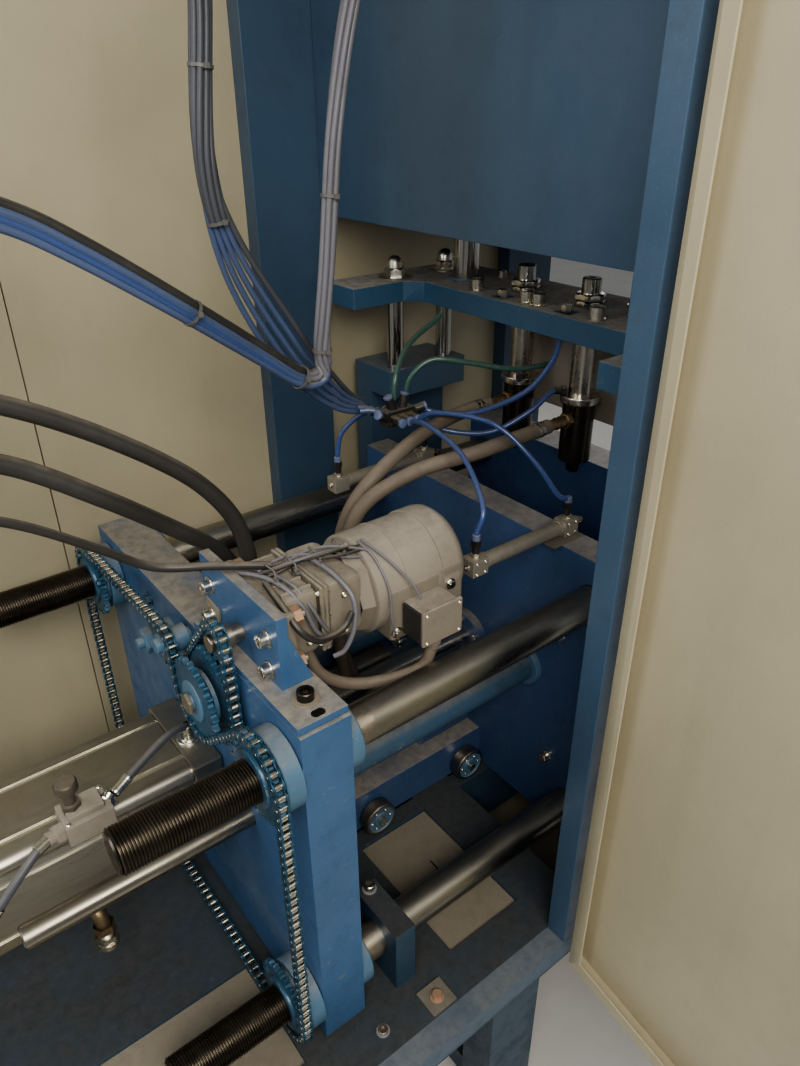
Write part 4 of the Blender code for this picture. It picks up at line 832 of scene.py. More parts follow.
valve.lathe_mm(((-4, 7.8), (0, 8.6), (24, 8.6), (25, 6.6)), ZINC,
    turned((drop[3] - drop[0]).normalized(), drop[0]), 24)
valve.lathe_mm(((-1, 8.6), (18, 8.6), (19, 7), (19, 0)), ZINC,
    turned((drop[-1] - drop[-4]).normalized(), drop[-1]), 24)
at_knob = turned(UP, (-0.585, -0.09, LOW))
valve.lathe_mm(((40, 12, 6), (52, 12, 6), (53, 8), (74, 8), (75, 14.5), (77, 16), (88, 16), (90, 14.5),
    (91.5, 13.5), (91.5, 0)), KNOB, at_knob, 36)
valve.lathe_mm(((-2, 11.5, 6), (12, 11.5, 6), (13, 9.5), (20, 8.5), (20, 0)), ZINC,
    turned((0.75, 0.28, 0.6), (-0.546, -0.093, LOW + 0.022)), 36)
for x, y in ((-0.598, -0.114), (-0.542, -0.071)):
    socket_screw(valve, (x, y, LOW + 0.036), UP, 0.0035, 0.003)
valve.done("rear_platen", "grey_casing", ["flow_valve"])

crimp = Piece("cylinder_hose_detail")
line = smooth_route(mm(((-383, -21, 920), (-386, -26, 942), (-425, -44, 956), (-480, -67, 948),
    (-524, -84, 936))), 0.006)
crimp.tube(line, 0.0064, SHEATH, 18)
for index, sign in ((0, 1), (len(line) - 1, -1)):
    start = line[index]
    ahead = (line[index + sign * 4] - start).normalized()
    crimp.lathe_mm(((-2, 7.5), (0, 8.5), (4, 8.5), (5, 7.8), (22, 7.8), (23, 8.5), (27, 8.5), (28, 6.6)),
        ZINC, turned(ahead, start), 24)
crimp.done("rear_platen", "grey_hose", ["cylinder_hose"])


# Gear motor and its bracket

BRACKET_X, BRACKET_T = -0.335, 0.016
DECK = 1.1378
bracket = Piece("motor_bracket_detail")
# The bracket takes the lighter copy of the blue paint: painted light.
bracket.prism([(-0.271, DECK), (-0.055, DECK), (-0.055, 1.259), (-0.271, 1.259)], BRACKET_X,
    BRACKET_X + BRACKET_T, PAINT_LIT_COPY, 0.0014, TO_X)
foot_top = DECK + 0.012
bracket.prism([(-0.358, -0.345), (-0.283, -0.345), (-0.283, -0.055), (-0.358, -0.055)], DECK, foot_top,
    PAINT_LIT_COPY, 0.0014)
bracket.prism([(BRACKET_X + BRACKET_T - 0.001, DECK + 0.002), (-0.2835, DECK + 0.002),
    (BRACKET_X + BRACKET_T - 0.001, 1.229)], 0.259, 0.271, PAINT_LIT_COPY, 0.001,
    Matrix(((1, 0, 0, 0), (0, 0, -1, 0), (0, 1, 0, 0), (0, 0, 0, 1))))
for y in (-0.243, -0.083):
    for z in (1.168, 1.217):
        square = y == -0.083 and z == 1.168
        if square:
            centre = Matrix.Translation((0, y, z))
            tilt = centre @ Matrix.Rotation(0.14, 4, "X") @ centre.inverted()
            bracket.box((BRACKET_X - 0.0035, y - 0.021, z - 0.019),
                (BRACKET_X - 0.0002, y + 0.019, z + 0.021), TRAY, 0.0006, tilt)
        socket_screw(bracket, (BRACKET_X - (0.003 if square else 0.0), y, z), BACKWARD, 0.0096, 0.0115, ZINC,
            0.013)
socket_screw(bracket, (-0.32, -0.303, foot_top), UP, 0.0115, 0.0125, PIN_DARK, 0.0185, TRAY)
slot_outline = []
for degrees in range(0, 360, 20):
    angle = math.radians(degrees)
    slot_outline.append((-0.321 + 0.0055 * math.cos(angle) + (0.004 if math.cos(angle) > 0 else -0.004),
        -0.3335 + 0.0065 * math.sin(angle)))
bracket.prism(slot_outline, foot_top - 0.002, foot_top + 0.0004, PIN_DARK)
bracket.done("rear_platen", "blue_paint", ["motor_bracket"])

motor = Piece("gear_motor_detail")
START = BRACKET_X + BRACKET_T + 0.0003  # the reducer's flange against the bracket


def from_motor(x, y, z):
    """A place given in millimetres from the motor's axis at START."""
    return (START + mm(x), MOTOR[0] + mm(y), MOTOR[1] + mm(z))


def casing(blocks):
    for low, high, material, edge in blocks:
        motor.box(from_motor(*low), from_motor(*high), material, mm(edge))


casing((((0, -88, -34), (22, 88, 60), CASE, 4), ((18, -64, -34), (72, 64, 64), CASE, 10),
    ((73, -66, -38), (79, 66, 66), CASE, 3), ((79.5, -66, -38), (86, 66, 66), CASE, 3),
    ((85, -62, -34), (146, 62, 62), CASE, 12), ((72, -65.5, -36), (87, -60, 64), ZINC, 0.8)))
motor.lathe_mm(((140, 66), (160.5, 72), (161, 70)), CASE, turned(AHEAD, from_motor(0, 0, 4)), 8)
casing([((22, y - 2.5, 58), (68, y + 2.5, 68), CASE, 1.5) for y in (-50, -25, 0, 25, 50)])
for side in (-1, 1):
    for z in (-28, 15, 54):
        hex_head(motor, from_motor(73, side * 58, z), BACKWARD, 0.0045, 0.004)
        socket_screw(motor, from_motor(86, side * 58, z), AHEAD, 0.0048, 0.005)
for side in (-1, 1):
    for z in (-24, 48):
        motor.lathe_mm(((0, 11.5, 6), (12, 11.5, 6), (13, 10), (13, 0)), RUSTY,
            turned(AHEAD, from_motor(21, side * 76, z)), 36)
        socket_screw(motor, from_motor(34, side * 76, z), AHEAD, 0.0062, 0.006)
for spot in ((30, -64.2, 30), (52, -64.2, -12), (112, -62.5, -18), (112, -62.5, 40)):
    socket_screw(motor, from_motor(*spot), NEARER, 0.005, 0.0035)
shell_at = turned(AHEAD, from_motor(160, 0, 4))
motor.lathe_mm(((0, 0), (0, 72), (3, 76.5), (6, 77), (54, 77), (54.2, 78.2), (58, 78.2), (58.2, 77.2),
    (118, 77.2)), CASE_SHEET, shell_at, 72)
motor.lathe_mm(((118, 77.2), (118.2, 79.8), (148, 79.8), (156, 78), (166, 70), (169.5, 60), (170, 0)),
    CASE_SHEET, shell_at, 72)
# The last block is a near-black sheet of painted shade on the terminal box's -X side.
casing((((180, -78.5, -66), (272, 64, 20), CASE, 6), ((272, -79.5, -62), (318, 60, 26), CASE, 8),
    ((202, -122, -53), (270, -78, 0), CASE, 3), ((199, -128, -56), (273, -121.5, 3), CASE, 2.5),
    ((198.4, -122.5, -52), (202.5, -82, -1), CASE_PAINTED_SHADE, 1)))
for x in (206, 266):
    for z in (-50, -3):
        socket_screw(motor, from_motor(x, -128, z), NEARER, 0.0026, 0.0016)
motor.lathe_mm(((0, 12.5, 6), (6, 12.5, 6), (7, 11), (10, 11), (10, 12, 6), (20, 12, 6), (26, 10), (30, 9.5),
    (30, 0)), CASE, turned(DOWN, from_motor(236, -104, -52)), 36)
for spot in ((290, -79.5, -5), (190, -78.5, -50)):
    hex_head(motor, from_motor(*spot), NEARER, 0.006, 0.0045, ZINC, 0.009)
motor.done("rear_platen", "grey_casing", ["gear_motor"])

# Wires tied round the reducer
wires = Piece("reducer_wires")


def wire(places, radius, material, sides):
    wires.tube(smooth_route([from_motor(*place) for place in places], 0.006), radius, material, sides)


def around_reducer(x, lean, reach, drop, radius):
    """A cable loop over the top and down the near side of the reducer."""
    top, near = 64 + reach, -66 - reach
    wire(((x - 0.5 * lean, 30, top + 4), (x, -5, top + 6), (x + 0.3 * lean, -45, top + 2),
        (x + 0.6 * lean, near + 4, 46), (x + 0.9 * lean, near - 2, 20 - drop),
        (x + 1.3 * lean, near, -4 - drop)), radius, SLEEVE, 10)


around_reducer(22, 40, 4, 10, 0.0035)
around_reducer(36, 34, 3, 0, 0.0028)
wire(((18, -20, 72), (14, -62, 66), (20, -98, 40), (40, -102, 18), (66, -94, 6), (92, -90, 8),
    (108, -88, 26)), 0.0048, CABLE, 12)
wire(((94, -10, 78), (104, -50, 70), (112, -84, 46), (108, -92, 6), (94, -88, -30), (80, -80, -40)), 0.0036,
    SLEEVE, 10)
for number in range(7):
    phase = number * 0.9
    bundle = []
    for step in range(9):
        part = step / 8
        y = 4 + 12 * math.sin(phase + 5 * part) - 30 * part
        bundle.append((20 + 150 * part, y,
            72 + 6 * math.cos(phase * 1.7 + 4 * part) + 12 * math.sin(math.pi * part)))
    wire(bundle, 0.0021, CABLE if number % 3 else SLEEVE, 8)
wire(((166, -20, 86), (174, -52, 66), (178, -78, 26), (174, -88, -14), (180, -88, -40)), 0.0018, SLEEVE, 8)
wire(((170, -22, 88), (190, -58, 64), (212, -84, 30), (220, -98, 6)), 0.0018, SLEEVE, 8)
for x in (30, 62, 100, 140):
    ring = [from_motor(x + 2 * math.sin(3 * a), -8 + 16.5 * math.cos(a),
        78 + 12.5 * math.sin(a)) for a in (2 * math.pi * k / 20 for k in range(21))]
    wires.tube(ring, 0.0013, TIE, 6)
    wires.box(from_motor(x - 3, -31, 74), from_motor(x + 3, -24, 80), TIE, 0.0006)
    wires.tube((from_motor(x, -28, 78), from_motor(x - 2, -36, 84), from_motor(x - 6, -42, 86)), 0.001, TIE,
        6)
wires.done("rear_platen", "grey_casing")


# Hoses

ROUTES = {"air_bundle_down": ((205, 100, 2100), (170, 100, 2101), (120, 100, 2110), (0, 100, 2110),
    (-100, 100, 2075), (-155, 100, 2010), (-166, 100, 1924), (-184, 100, 1744), (-155, 100, 1611),
    (-75, 100, 1464), (-20, 106, 1400), (35, 120, 1352), (88, 140, 1322)),
    "air_bundle_across": ((-954, -220, 1605), (-900, -218, 1606), (-820, -180, 1660), (-700, -90, 1740),
    (-590, -20, 1748), (-478, 0, 1708), (-401, 5, 1663), (-276, 15, 1574), (-160, 25, 1487), (-108, 30, 1447),
    (-78, 32, 1434), (-58, 32, 1445), (-57, 31, 1500), (-40, 30, 1620), (-18, 30, 1789), (13, 28, 1927),
    (45, 18, 2015), (95, 6, 2068), (160, 0, 2080), (205, 0, 2080)), "hydraulic_hose_upper": ((-958, 50, 1600),
    (-925, 50, 1600), (-860, 42, 1602), (-750, 20, 1585), (-640, 4, 1552), (-527, 0, 1503), (-440, -5, 1452),
    (-359, -16, 1393), (-305, -26, 1342), (-266, -34, 1280), (-251, -38, 1210), (-250, -38, 1140),
    (-250, -38, 1070.6)), "hydraulic_hose_lower": ((-958, -40, 1590), (-925, -40, 1589), (-880, -42, 1580),
    (-780, -40, 1545), (-660, -30, 1488), (-542, -20, 1437), (-440, -30, 1364), (-346, -16, 1280),
    (-292, -2, 1228), (-259, 10, 1178), (-250, 14, 1132), (-250, 14, 1101), (-250, 14, 1071.2)),
    "motor_cable": ((-958, -140, 1600), (-925, -140, 1599), (-880, -138, 1588), (-780, -130, 1540),
    (-660, -115, 1456), (-560, -110, 1400), (-480, -110, 1340), (-420, -115, 1294), (-350, -140, 1281),
    (-281, -165, 1268)), "motor_conduit": ((-262, -205, 1149), (-245, -216, 1098), (-205, -232, 1070),
    (-150, -250, 1062), (-100, -265, 1070), (-83, -269, 1100)), "water_hose_near": ((350, -78, 1285),
    (280, -78, 1283), (190, -60, 1270), (90, -20, 1250), (10, 20, 1200), (-20, 40, 1130), (-33, 55, 1030),
    (-25, 75, 860), (10, 90, 720), (65, 100, 600), (90, 100, 509)), "water_hose_far": ((350, 78, 1285),
    (280, 80, 1283), (190, 75, 1270), (90, 60, 1240), (20, 62, 1190), (-5, 80, 1120), (-12, 92, 1030),
    (-5, 108, 860), (40, 118, 720), (105, 133, 600), (127, 136, 509)), "air_tube_near": ((143, 65, 1302),
    (130, 0, 1316), (120, -100, 1297), (85, -190, 1250), (67, -197, 1210)), "air_tube_far": ((125, 143, 1302),
    (110, 175, 1290), (78, 195, 1255), (67, 197, 1210))}
ROUTES = {name: mm(route) for name, route in ROUTES.items()}


def crimped_end(piece, route, at_start, r, length):
    """The pressed ferrule and hexagon of a hydraulic hose of radius r."""
    start, toward = (route[0], route[3]) if at_start else (route[-1], route[-4])
    shape = ((0.0, 0.95, 6), (0.22, 0.95, 6), (0.24, 0.8), (0.32, 0.8), (0.34, 1.18), (0.95, 1.18),
        (1.0, 1.05))
    piece.lathe([(length * along, r * out, *flats) for along, out, *flats in shape], ZINC,
        turned((toward - start).normalized(), start), 36)


HYDRAULIC_R = 0.0123
for name in ("hydraulic_hose_upper", "hydraulic_hose_lower"):
    hose = Piece(f"{name}_detail")
    route = smooth_route(ROUTES[name], 0.01)
    hose.tube(route, HYDRAULIC_R, RUBBER, 24)
    crimped_end(hose, route, True, HYDRAULIC_R, 0.05)
    crimped_end(hose, route, False, HYDRAULIC_R, 0.046)
    hose.done(slot="black_rubber", replaces=[name],
        bend=("frame", "rear_platen", ROUTES[name][0], (-0.36, 0.0, 1.35)))
cable = Piece("motor_cable_detail")
cable.tube(smooth_route(ROUTES["motor_cable"], 0.01), 0.0058, CABLE, 16)
cable.done(slot="black_rubber", replaces=["motor_cable"], bend=("frame", "rear_platen",
    ROUTES["motor_cable"][0], (-0.36, -0.14, 1.28)))

conduit = Piece("motor_conduit_detail")
line = smooth_route(ROUTES["motor_conduit"], 0.002)
conduit.tube(line, 0.009, WATER, 18, [0.0088 + 0.0006 * (number % 2) for number in range(len(line))])
conduit.done("rear_platen", "grey_hose", ["motor_conduit"])

for label in ("near", "far"):
    name = f"water_hose_{label}"
    hose = Piece(f"{name}_detail")
    route = smooth_route(ROUTES[name], 0.008)
    hose.tube(route, 0.0133, WATER, 22)
    for place, ahead in ((route[3], (route[4] - route[3])), (route[-4], (route[-5] - route[-4]))):
        move = turned(ahead.normalized(), place)
        for lift in (0.0, 0.01):
            low, high = lift - 0.003, lift + 0.003
            hose.lathe(((low, 0.0134), (low, 0.0146), (high, 0.0146), (high, 0.0134)), ZINC, move, 32)
        hose.cube(move @ Vector((0.0, 0.015, 0.0)), (0.003, 0.005, 0.003), ZINC, 0.0006)
    hose.done(slot="grey_hose", replaces=[name], bend=("frame", "pin_carriage", (0.0, 0.06, 1.1),
        (0.34, 0.0, 1.285)))

for label in ("near", "far"):
    name = f"air_tube_{label}"
    tube = Piece(f"{name}_detail")
    route = smooth_route(ROUTES[name], 0.006)
    tube.tube(route, 0.0047, TUBE, 14)
    tube.done(slot="blue_tube", replaces=[name], bend=("rear_platen", "moving_platen", ROUTES[name][0],
        ROUTES[name][-1]))


def strand(route, radius, angle, twist):
    """A route shifted off a bundle's middle line, slowly turning round it."""
    shifted = []
    for index, place in enumerate(route):
        ahead = heading_at(route, index)
        side = ahead.cross(Vector((0.2, 0.3, 0.93))).normalized()
        c, s = polar(1.0, angle + twist * index)
        shifted.append(place + (side * c + ahead.cross(side) * s) * radius)
    return shifted


def cable_tie(piece, route, index, radius):
    move = turned(heading_at(route, index), route[index])
    low, high = radius - 0.0005, radius + 0.001
    piece.lathe(((-0.0022, low), (-0.0022, high), (0.0022, high), (0.0022, low)), TIE, move, 28)
    piece.cube(move @ Vector((0.0, -radius - 0.002, 0.0)), (0.0035, 0.0035, 0.0035), TIE, 0.0008)


def ribbon(route, shift, grow=None):
    """A route moved across its own line in the picture's plane, by a width that may change on the way."""
    moved = []
    for index, place in enumerate(route):
        aside = heading_at(route, index, 2).cross(Vector((0.534, 0.693, -0.484))).normalized()
        moved.append(place + aside * shift * (grow(index / (len(route) - 1)) if grow else 1.0))
    return moved


down = Piece("air_bundle_down_detail")
middle = smooth_route(ROUTES["air_bundle_down"], 0.01)
bend_at = max(i for i, p in enumerate(middle) if p.z > 1.66)
sheath = middle[: bend_at + 1]
down.tube(sheath, 0.01, RUBBER, 16)
for number in range(8):
    down.tube(strand(sheath, 0.0108, number * math.pi / 4, 0.004), 0.0046, SHEATH, 12)
fan_out = middle[bend_at - 3:]
for number in range(5):
    shift = 0.0095 * (number - 2)
    opened = ribbon(fan_out, shift, lambda t: 0.55 + 0.95 * math.sin(math.pi * t))
    down.tube(opened, 0.0046, SHEATH if number == 4 else FADED, 12)
for index in range(12, bend_at, 22):
    cable_tie(down, middle, index, 0.0158)
cable_tie(down, middle, bend_at, 0.016)
down.done("frame", "blue_tube", ["air_bundle_down"])

across = Piece("air_bundle_across_detail")
middle = smooth_route(ROUTES["air_bundle_across"], 0.01)
turn_at = min(range(len(middle)), key=lambda i: (middle[i] - Vector((-0.078, 0.032, 1.434))).length)
swept = middle[: turn_at + 4]
for shift, radius, material in ((0.015, 0.0066, RUBBER), (0.0045, 0.0056, FADED), (-0.0055, 0.0062, FADED),
        (-0.0155, 0.006, FADED)):
    across.tube(ribbon(swept, shift, lambda t: 1.15 - 0.55 * t), radius, material, 16)
for angle in (0.6, 3.4):
    across.tube(strand(swept, 0.0062, angle, 0.01), 0.0052, TUBE, 12)
rise = middle[turn_at - 1:]
across.tube(rise, 0.008, SHEATH, 14)
for number in range(6):
    across.tube(strand(rise, 0.0084, number * math.pi / 3, 0.003), 0.0046, SLEEVE, 12)
for index in (36, 84, turn_at - 2):
    cable_tie(across, middle, index, 0.0215 if index < 60 else 0.0175)
for index in [turn_at + 6] + list(range(turn_at + 28, len(middle) - 8, 26)):
    cable_tie(across, middle, index, 0.0138)
across.done("frame", "blue_tube", ["air_bundle_across"])


# Air manifold, its push-in fittings and the tubes that fan out of it

PUSH_IN_LENGTH, PUSH_IN_R = 0.031, 0.0086


def push_in(place, direction):
    """A push-in fitting of the manifold: its body and its release ring."""
    for shape, material in ((((0.0, 0.9, 6), (0.35, 0.9, 6), (0.38, 1.0), (0.8, 1.0), (0.84, 0.85)), PLASTIC),
            (((0.8, 0.86), (0.86, 1.02), (0.96, 1.02), (1.0, 0.8), (1.0, 0.0)), RING)):
        manifold.lathe([(PUSH_IN_LENGTH * along, PUSH_IN_R * out, *flats) for along, out, *flats in shape],
            material, turned(direction, place), 24)


manifold = Piece("air_manifold_detail")
MANIFOLD = (0.143, 0.104, 1.302)


def from_manifold(*millimetres):
    return tuple(middle + offset for middle, offset in zip(MANIFOLD, mm(millimetres)))


manifold.box(from_manifold(-32, -13, -15), from_manifold(32, 13, 15), PLASTIC, 0.002)
manifold.box(from_manifold(-26, -15, -9), from_manifold(26, 15, 9), BRASS, 0.002)
for x in (-18, 0, 18):
    push_in(from_manifold(x, -10, 0), NEARER)
    push_in(from_manifold(x, 10, 0), FARTHER)
for spot, way in (((-28, 6, 4), (-0.75, 0.35, 0.42)), ((-28, -6, 2), (-0.8, -0.15, 0.45)),
        ((-10, 0, 12), (-0.35, 0.1, 0.93)), ((10, 0, 12), (0.25, 0.05, 0.96)),
        ((28, -4, 4), (0.85, -0.35, 0.25)), ((28, 6, -4), (0.85, -0.2, -0.25))):
    push_in(from_manifold(*spot), way)
manifold.done("frame", "black_rubber", ["air_manifold"])

fan = Piece("air_fan_tubes")
for number in range(4):
    shift = 0.01 * (number - 1.5)
    fan.tube(smooth_route(((0.07, 0.132 + shift * 0.8, 1.33 + shift * 0.5), (0.09, 0.124 + shift, 1.322),
        (0.112, 0.11 + shift, 1.311)), 0.005), 0.005, FADED if number != 2 else RUBBER, 12)
fan.done("frame", "blue_tube")

for name, body, other, radius, material, ends, routes in (("green_tubes", "frame", "pin_carriage", 0.0052,
        GREEN, ((160, 110, 1330), (300, 100, 1400)), (((158, 104, 1330), (170, 98, 1372), (205, 80, 1400),
        (262, 45, 1392), (330, 10, 1376), (392, -4, 1372), (430, -4, 1372)), ((140, 112, 1330),
        (150, 118, 1372), (185, 140, 1402), (232, 162, 1420), (280, 170, 1437), (300, 170, 1450.5)))),
        ("pin_air_tubes", "frame", "pin_carriage", 0.0052, TUBE, ((190, 90, 1300), (360, -50, 1340)),
        (((192, 94, 1308), (215, 70, 1300), (262, 20, 1305), (320, -40, 1345), (352, -70, 1400),
        (362, -80, 1450.5)), ((190, 100, 1292), (230, 70, 1262), (290, 10, 1262), (350, -30, 1300),
        (392, -40, 1330), (410, -50, 1335)))), ("cylinder_front_tube_near", "rear_platen", "moving_platen",
        0.0047, TUBE, ((161, 66, 1302), (283, -197, 1205)), (((161, 66, 1302), (168, 30, 1322),
        (190, -50, 1332), (213, -100, 1318), (240, -155, 1268), (262, -190, 1216), (283, -197, 1205)),))):
    tubes = Piece(name)
    for route in routes:
        tubes.tube(smooth_route(mm(route), 0.006), radius, material, 14)
    tubes.done(slot="blue_tube", bend=(body, other, *mm(ends)))


# Small cylinders on the moving platen

SMALL_Z, CAP_HALF = 1.153, 0.015
for label, side in SIDES.items():
    y = side * 0.197
    small = Piece(f"small_cylinder_detail_{label}")
    for low_x, high_x in ((0.05, 0.084), (0.266, 0.3)):
        small.box((low_x, y - CAP_HALF, SMALL_Z - CAP_HALF), (high_x, y + CAP_HALF, SMALL_Z + CAP_HALF),
            ALLOY_DUSTY, 0.0022)
    small.lathe_mm(((82, 14.2), (90, 14.2), (90.5, 13), (260, 13), (260.5, 14.2), (268, 14.2)), ALLOY_DUSTY,
        along_x(y, SMALL_Z), 40)
    for x in (0.067, 0.283):
        up_at = turned(UP, (x, y, SMALL_Z + CAP_HALF))
        small.lathe_mm(((-1, 7.8), (2, 7.8), (2, 7.2, 6), (7, 7.2, 6), (8, 6.2)), ZINC, up_at, 36)
        small.lathe_mm(((7, 6.6), (22, 6.6), (23, 6), (23, 0)), PLASTIC, up_at, 24)
        small.box((x - 0.0065, y - 0.0065, SMALL_Z + 0.034), (x + 0.0065, y + 0.0065, SMALL_Z + 0.047),
            PLASTIC, 0.002)
        small.lathe_mm(((0, 6.6), (10, 6.6), (11, 5.5), (11, 0)), RING, turned(UP, (x, y, SMALL_Z + 0.045)),
            24)
    for x in (0.058, 0.076, 0.274, 0.292):
        for z in (-0.0095, 0.0095):
            socket_screw(small, (x, y + side * CAP_HALF, SMALL_Z + z), (0, side, 0), 0.003, 0.0016)
    socket_screw(small, (0.05, y, SMALL_Z), BACKWARD, 0.0055, 0.0025)
    small.done("moving_platen", "alloy", [f"small_cylinder_{label}"])
    thin = Piece(f"small_rod_detail_{label}")
    thin.lathe_mm(((110, 0), (110, 5), (308, 5), (308, 8.2, 6), (314, 8.2, 6), (315, 5), (323, 5), (324, 0)),
        CHROME, along_x(y, SMALL_Z), 36)
    thin.done(f"small_rod_{label}", "polished_steel", [f"small_rod_{label}"])


# Blow pins, columns and lift rods

PIN_X = 0.431
TOP = 1.49  # of the carriage's plate
for label, side in SIDES.items():
    y = side * 0.078
    pin = Piece(f"blow_pin_detail_{label}")
    at_pin = turned(UP, (PIN_X, y, 0.0))
    pin.lathe_mm(((1175, 0), (1175, 10.5), (1177, 12), (1199, 13.4), (1200, 28.5), (1202, 30), (1290, 30),
        (1291, 29.2), (1294, 29.2), (1295, 30), (1317, 30), (1318, 37)), PIN_DARK, at_pin, 56)
    pin.lathe_mm(((1317, 30), (1317, 36), (1319, 37), (1328, 37), (1330, 36), (1330, 22), (1434, 22),
        (1434, 29), (1436, 30), (1449.7, 30), (1449.7, 16)), PIN_BRIGHT, at_pin, 56)
    pin.lathe_mm(((1490.3, 16), (1490.3, 24.5, 6), (1500, 24.5, 6), (1502, 23.5), (1502, 18), (1503.5, 18),
        (1503.5, 24.5, 6), (1512, 24.5, 6), (1514, 23.5), (1514, 17), (1538.5, 16.5), (1540, 15), (1540, 6),
        (1530, 6), (1530, 0)), CHROME_UPRIGHT, at_pin, 48)
    pin.thread(1.513, 1.54, 0.017, 0.002, 0.001, CHROME_UPRIGHT, at_pin, 36)
    pin.lathe_mm(((0, 13.5, 6), (12, 13.5, 6), (13, 11), (22, 11), (23, 11.8), (30, 10), (34, 11.8), (40, 10),
        (52, 10.5), (52, 0)), BRASS, turned(BACKWARD, (PIN_X - 0.026, y, 1.285)), 36)
    pin.lathe_mm(((0, 8.5, 6), (8, 8.5, 6), (9, 7), (20, 7), (20, 0)), PLASTIC, turned((-0.8, -0.6 * side, 0),
        (PIN_X - 0.018, y - side * 0.02, 1.335)), 24)
    pin.done("pin_carriage", "dark_steel", [f"blow_pin_{label}"])
    lift = Piece(f"lift_rod_detail_{label}")
    lift.lathe_mm(((1470.3, 0), (1470.3, 25.2), (1472, 26), (2058, 26), (2060, 25), (2060, 0)),
        CHROME_UPRIGHT, turned(UP, (PIN_X, side * 0.247, 0.0)), 56)
    lift.done("pin_carriage", "polished_steel", [f"lift_rod_{label}"])
    for end, x in (("back", 0.322), ("front", 0.457)):
        column = Piece(f"guide_column_detail_{label}_{end}")
        at_column = turned(UP, (x, side * 0.343, 0.0))
        column.lathe_mm(((1243, 0), (1243, 16), (1244.5, 17.5), (1449.7, 17.5), (1449.7, 12), (1490.3, 12)),
            CHROME_UPRIGHT, at_column, 48)
        column.lathe_mm(((1490.3, 12), (1490.3, 35), (1493, 35), (1493.8, 34), (1494, 19, 6), (1507, 19, 6),
            (1509.5, 17.8), (1510, 16.6), (1520, 15.8), (1527.5, 12.8), (1531.8, 7.2), (1533, 0)), ZINC,
            at_column, 48)
        column.done("pin_carriage", "polished_steel", [f"guide_column_{label}_{end}"])

top_work = Piece("carriage_top_screws")
for y in (-0.145, 0.145, -0.015, 0.015):
    socket_screw(top_work, (PIN_X - 0.062, y, TOP), UP, 0.0128, 0.0195, ZINC, 0.0158)
for y in (-0.125, 0.125, -0.205, 0.205):
    socket_screw(top_work, (PIN_X + 0.062, y, TOP), UP, 0.0085, 0.011, ZINC, 0.012)
for side in (-1, 1):
    y = side * 0.078
    hex_head(top_work, (PIN_X - 0.06, y, TOP - 0.02), UP, 0.0085, 0.03, ZINC, 0.012)
    top_work.lathe_mm(((0, 36), (2.5, 36), (3, 35.5), (3, 26.5)), PAINT_LIGHT,
        turned(UP, (PIN_X, side * 0.247, TOP)), 40)
top_work.done("pin_carriage", "polished_steel")

backing = Piece("pin_backing_plate")
backing.box((0.492, -0.15, 1.262), (0.504, 0.15, 1.4497), CASE_SHEET, 0.0015)
for y in (-0.128, 0.128):
    for z in (1.285, 1.35, 1.415):
        socket_screw(backing, (0.492, y, z), BACKWARD, 0.0055, 0.005)
backing.done("pin_carriage", "grey_casing")


# Wheels, pit plates, fastenings and trim

WHEEL_Z, WHEEL_INNER_Y = 0.5363, 0.052
for label, x in (("back", -0.046), ("front", 0.195)):
    wheels = Piece(f"support_wheels_detail_{label}")
    for side in (-1, 1):
        outward = (0, side, 0)
        on_axle = turned(outward, (x, side * WHEEL_INNER_Y, WHEEL_Z))
        wheels.lathe_mm(((0, 10), (0, 34), (2, 36), (24, 36), (26, 34), (26, 30.5)), WORN_STEEL, on_axle, 48)
        wheels.lathe_mm(((26, 30.5), (23.5, 28.5), (23.5, 16.5), (26, 15), (26, 8.5)), PAINT_LIGHT, on_axle,
            48)
        wheels.lathe_mm(((26, 8.5), (34, 8), (34, 0)), ZINC, on_axle, 24)
        for step in range(6):
            u, v = polar(0.0225, math.radians(60 * step))
            socket_screw(wheels, (x + u, side * (WHEEL_INNER_Y + 0.0235), WHEEL_Z + v), outward, 0.003,
                0.0025)
    wheels.lathe_mm(((-53, 8), (53, 8)), WORN_STEEL, turned(FARTHER, (x, 0, WHEEL_Z)), 24)
    wheels.done(f"wheels_{label}", "dark_steel", [f"support_wheels_{label}"])

PIT_PLATE_Z = 0.492
for label, start, end, inner in (("back", -0.8995, -0.4025, 0.1605), ("middle", -0.1025, 0.0595, 0.0846)):
    for name, side in SIDES.items():
        low_y, high_y = sorted((side * inner, side * 0.3575))
        plate = Piece(f"pit_plate_{label}_{name}")
        plate.box((start, low_y, PIT_PLATE_Z - 0.0005), (end, high_y, PIT_PLATE_Z + 0.001), TRAY, 0.0)
        if label == "middle":  # a slot with a turned end
            for low_x, high_x, wide in ((0.034, 0.094, 0.0012), (0.092, 0.0944, 0.026)):
                plate.box((start + low_x, side * 0.214 - 0.0012, PIT_PLATE_Z + 0.0009),
                    (start + high_x, side * 0.214 + wide, PIT_PLATE_Z + 0.0024), PIN_DARK, 0.0)
        plate.done("frame", "tray_paint")

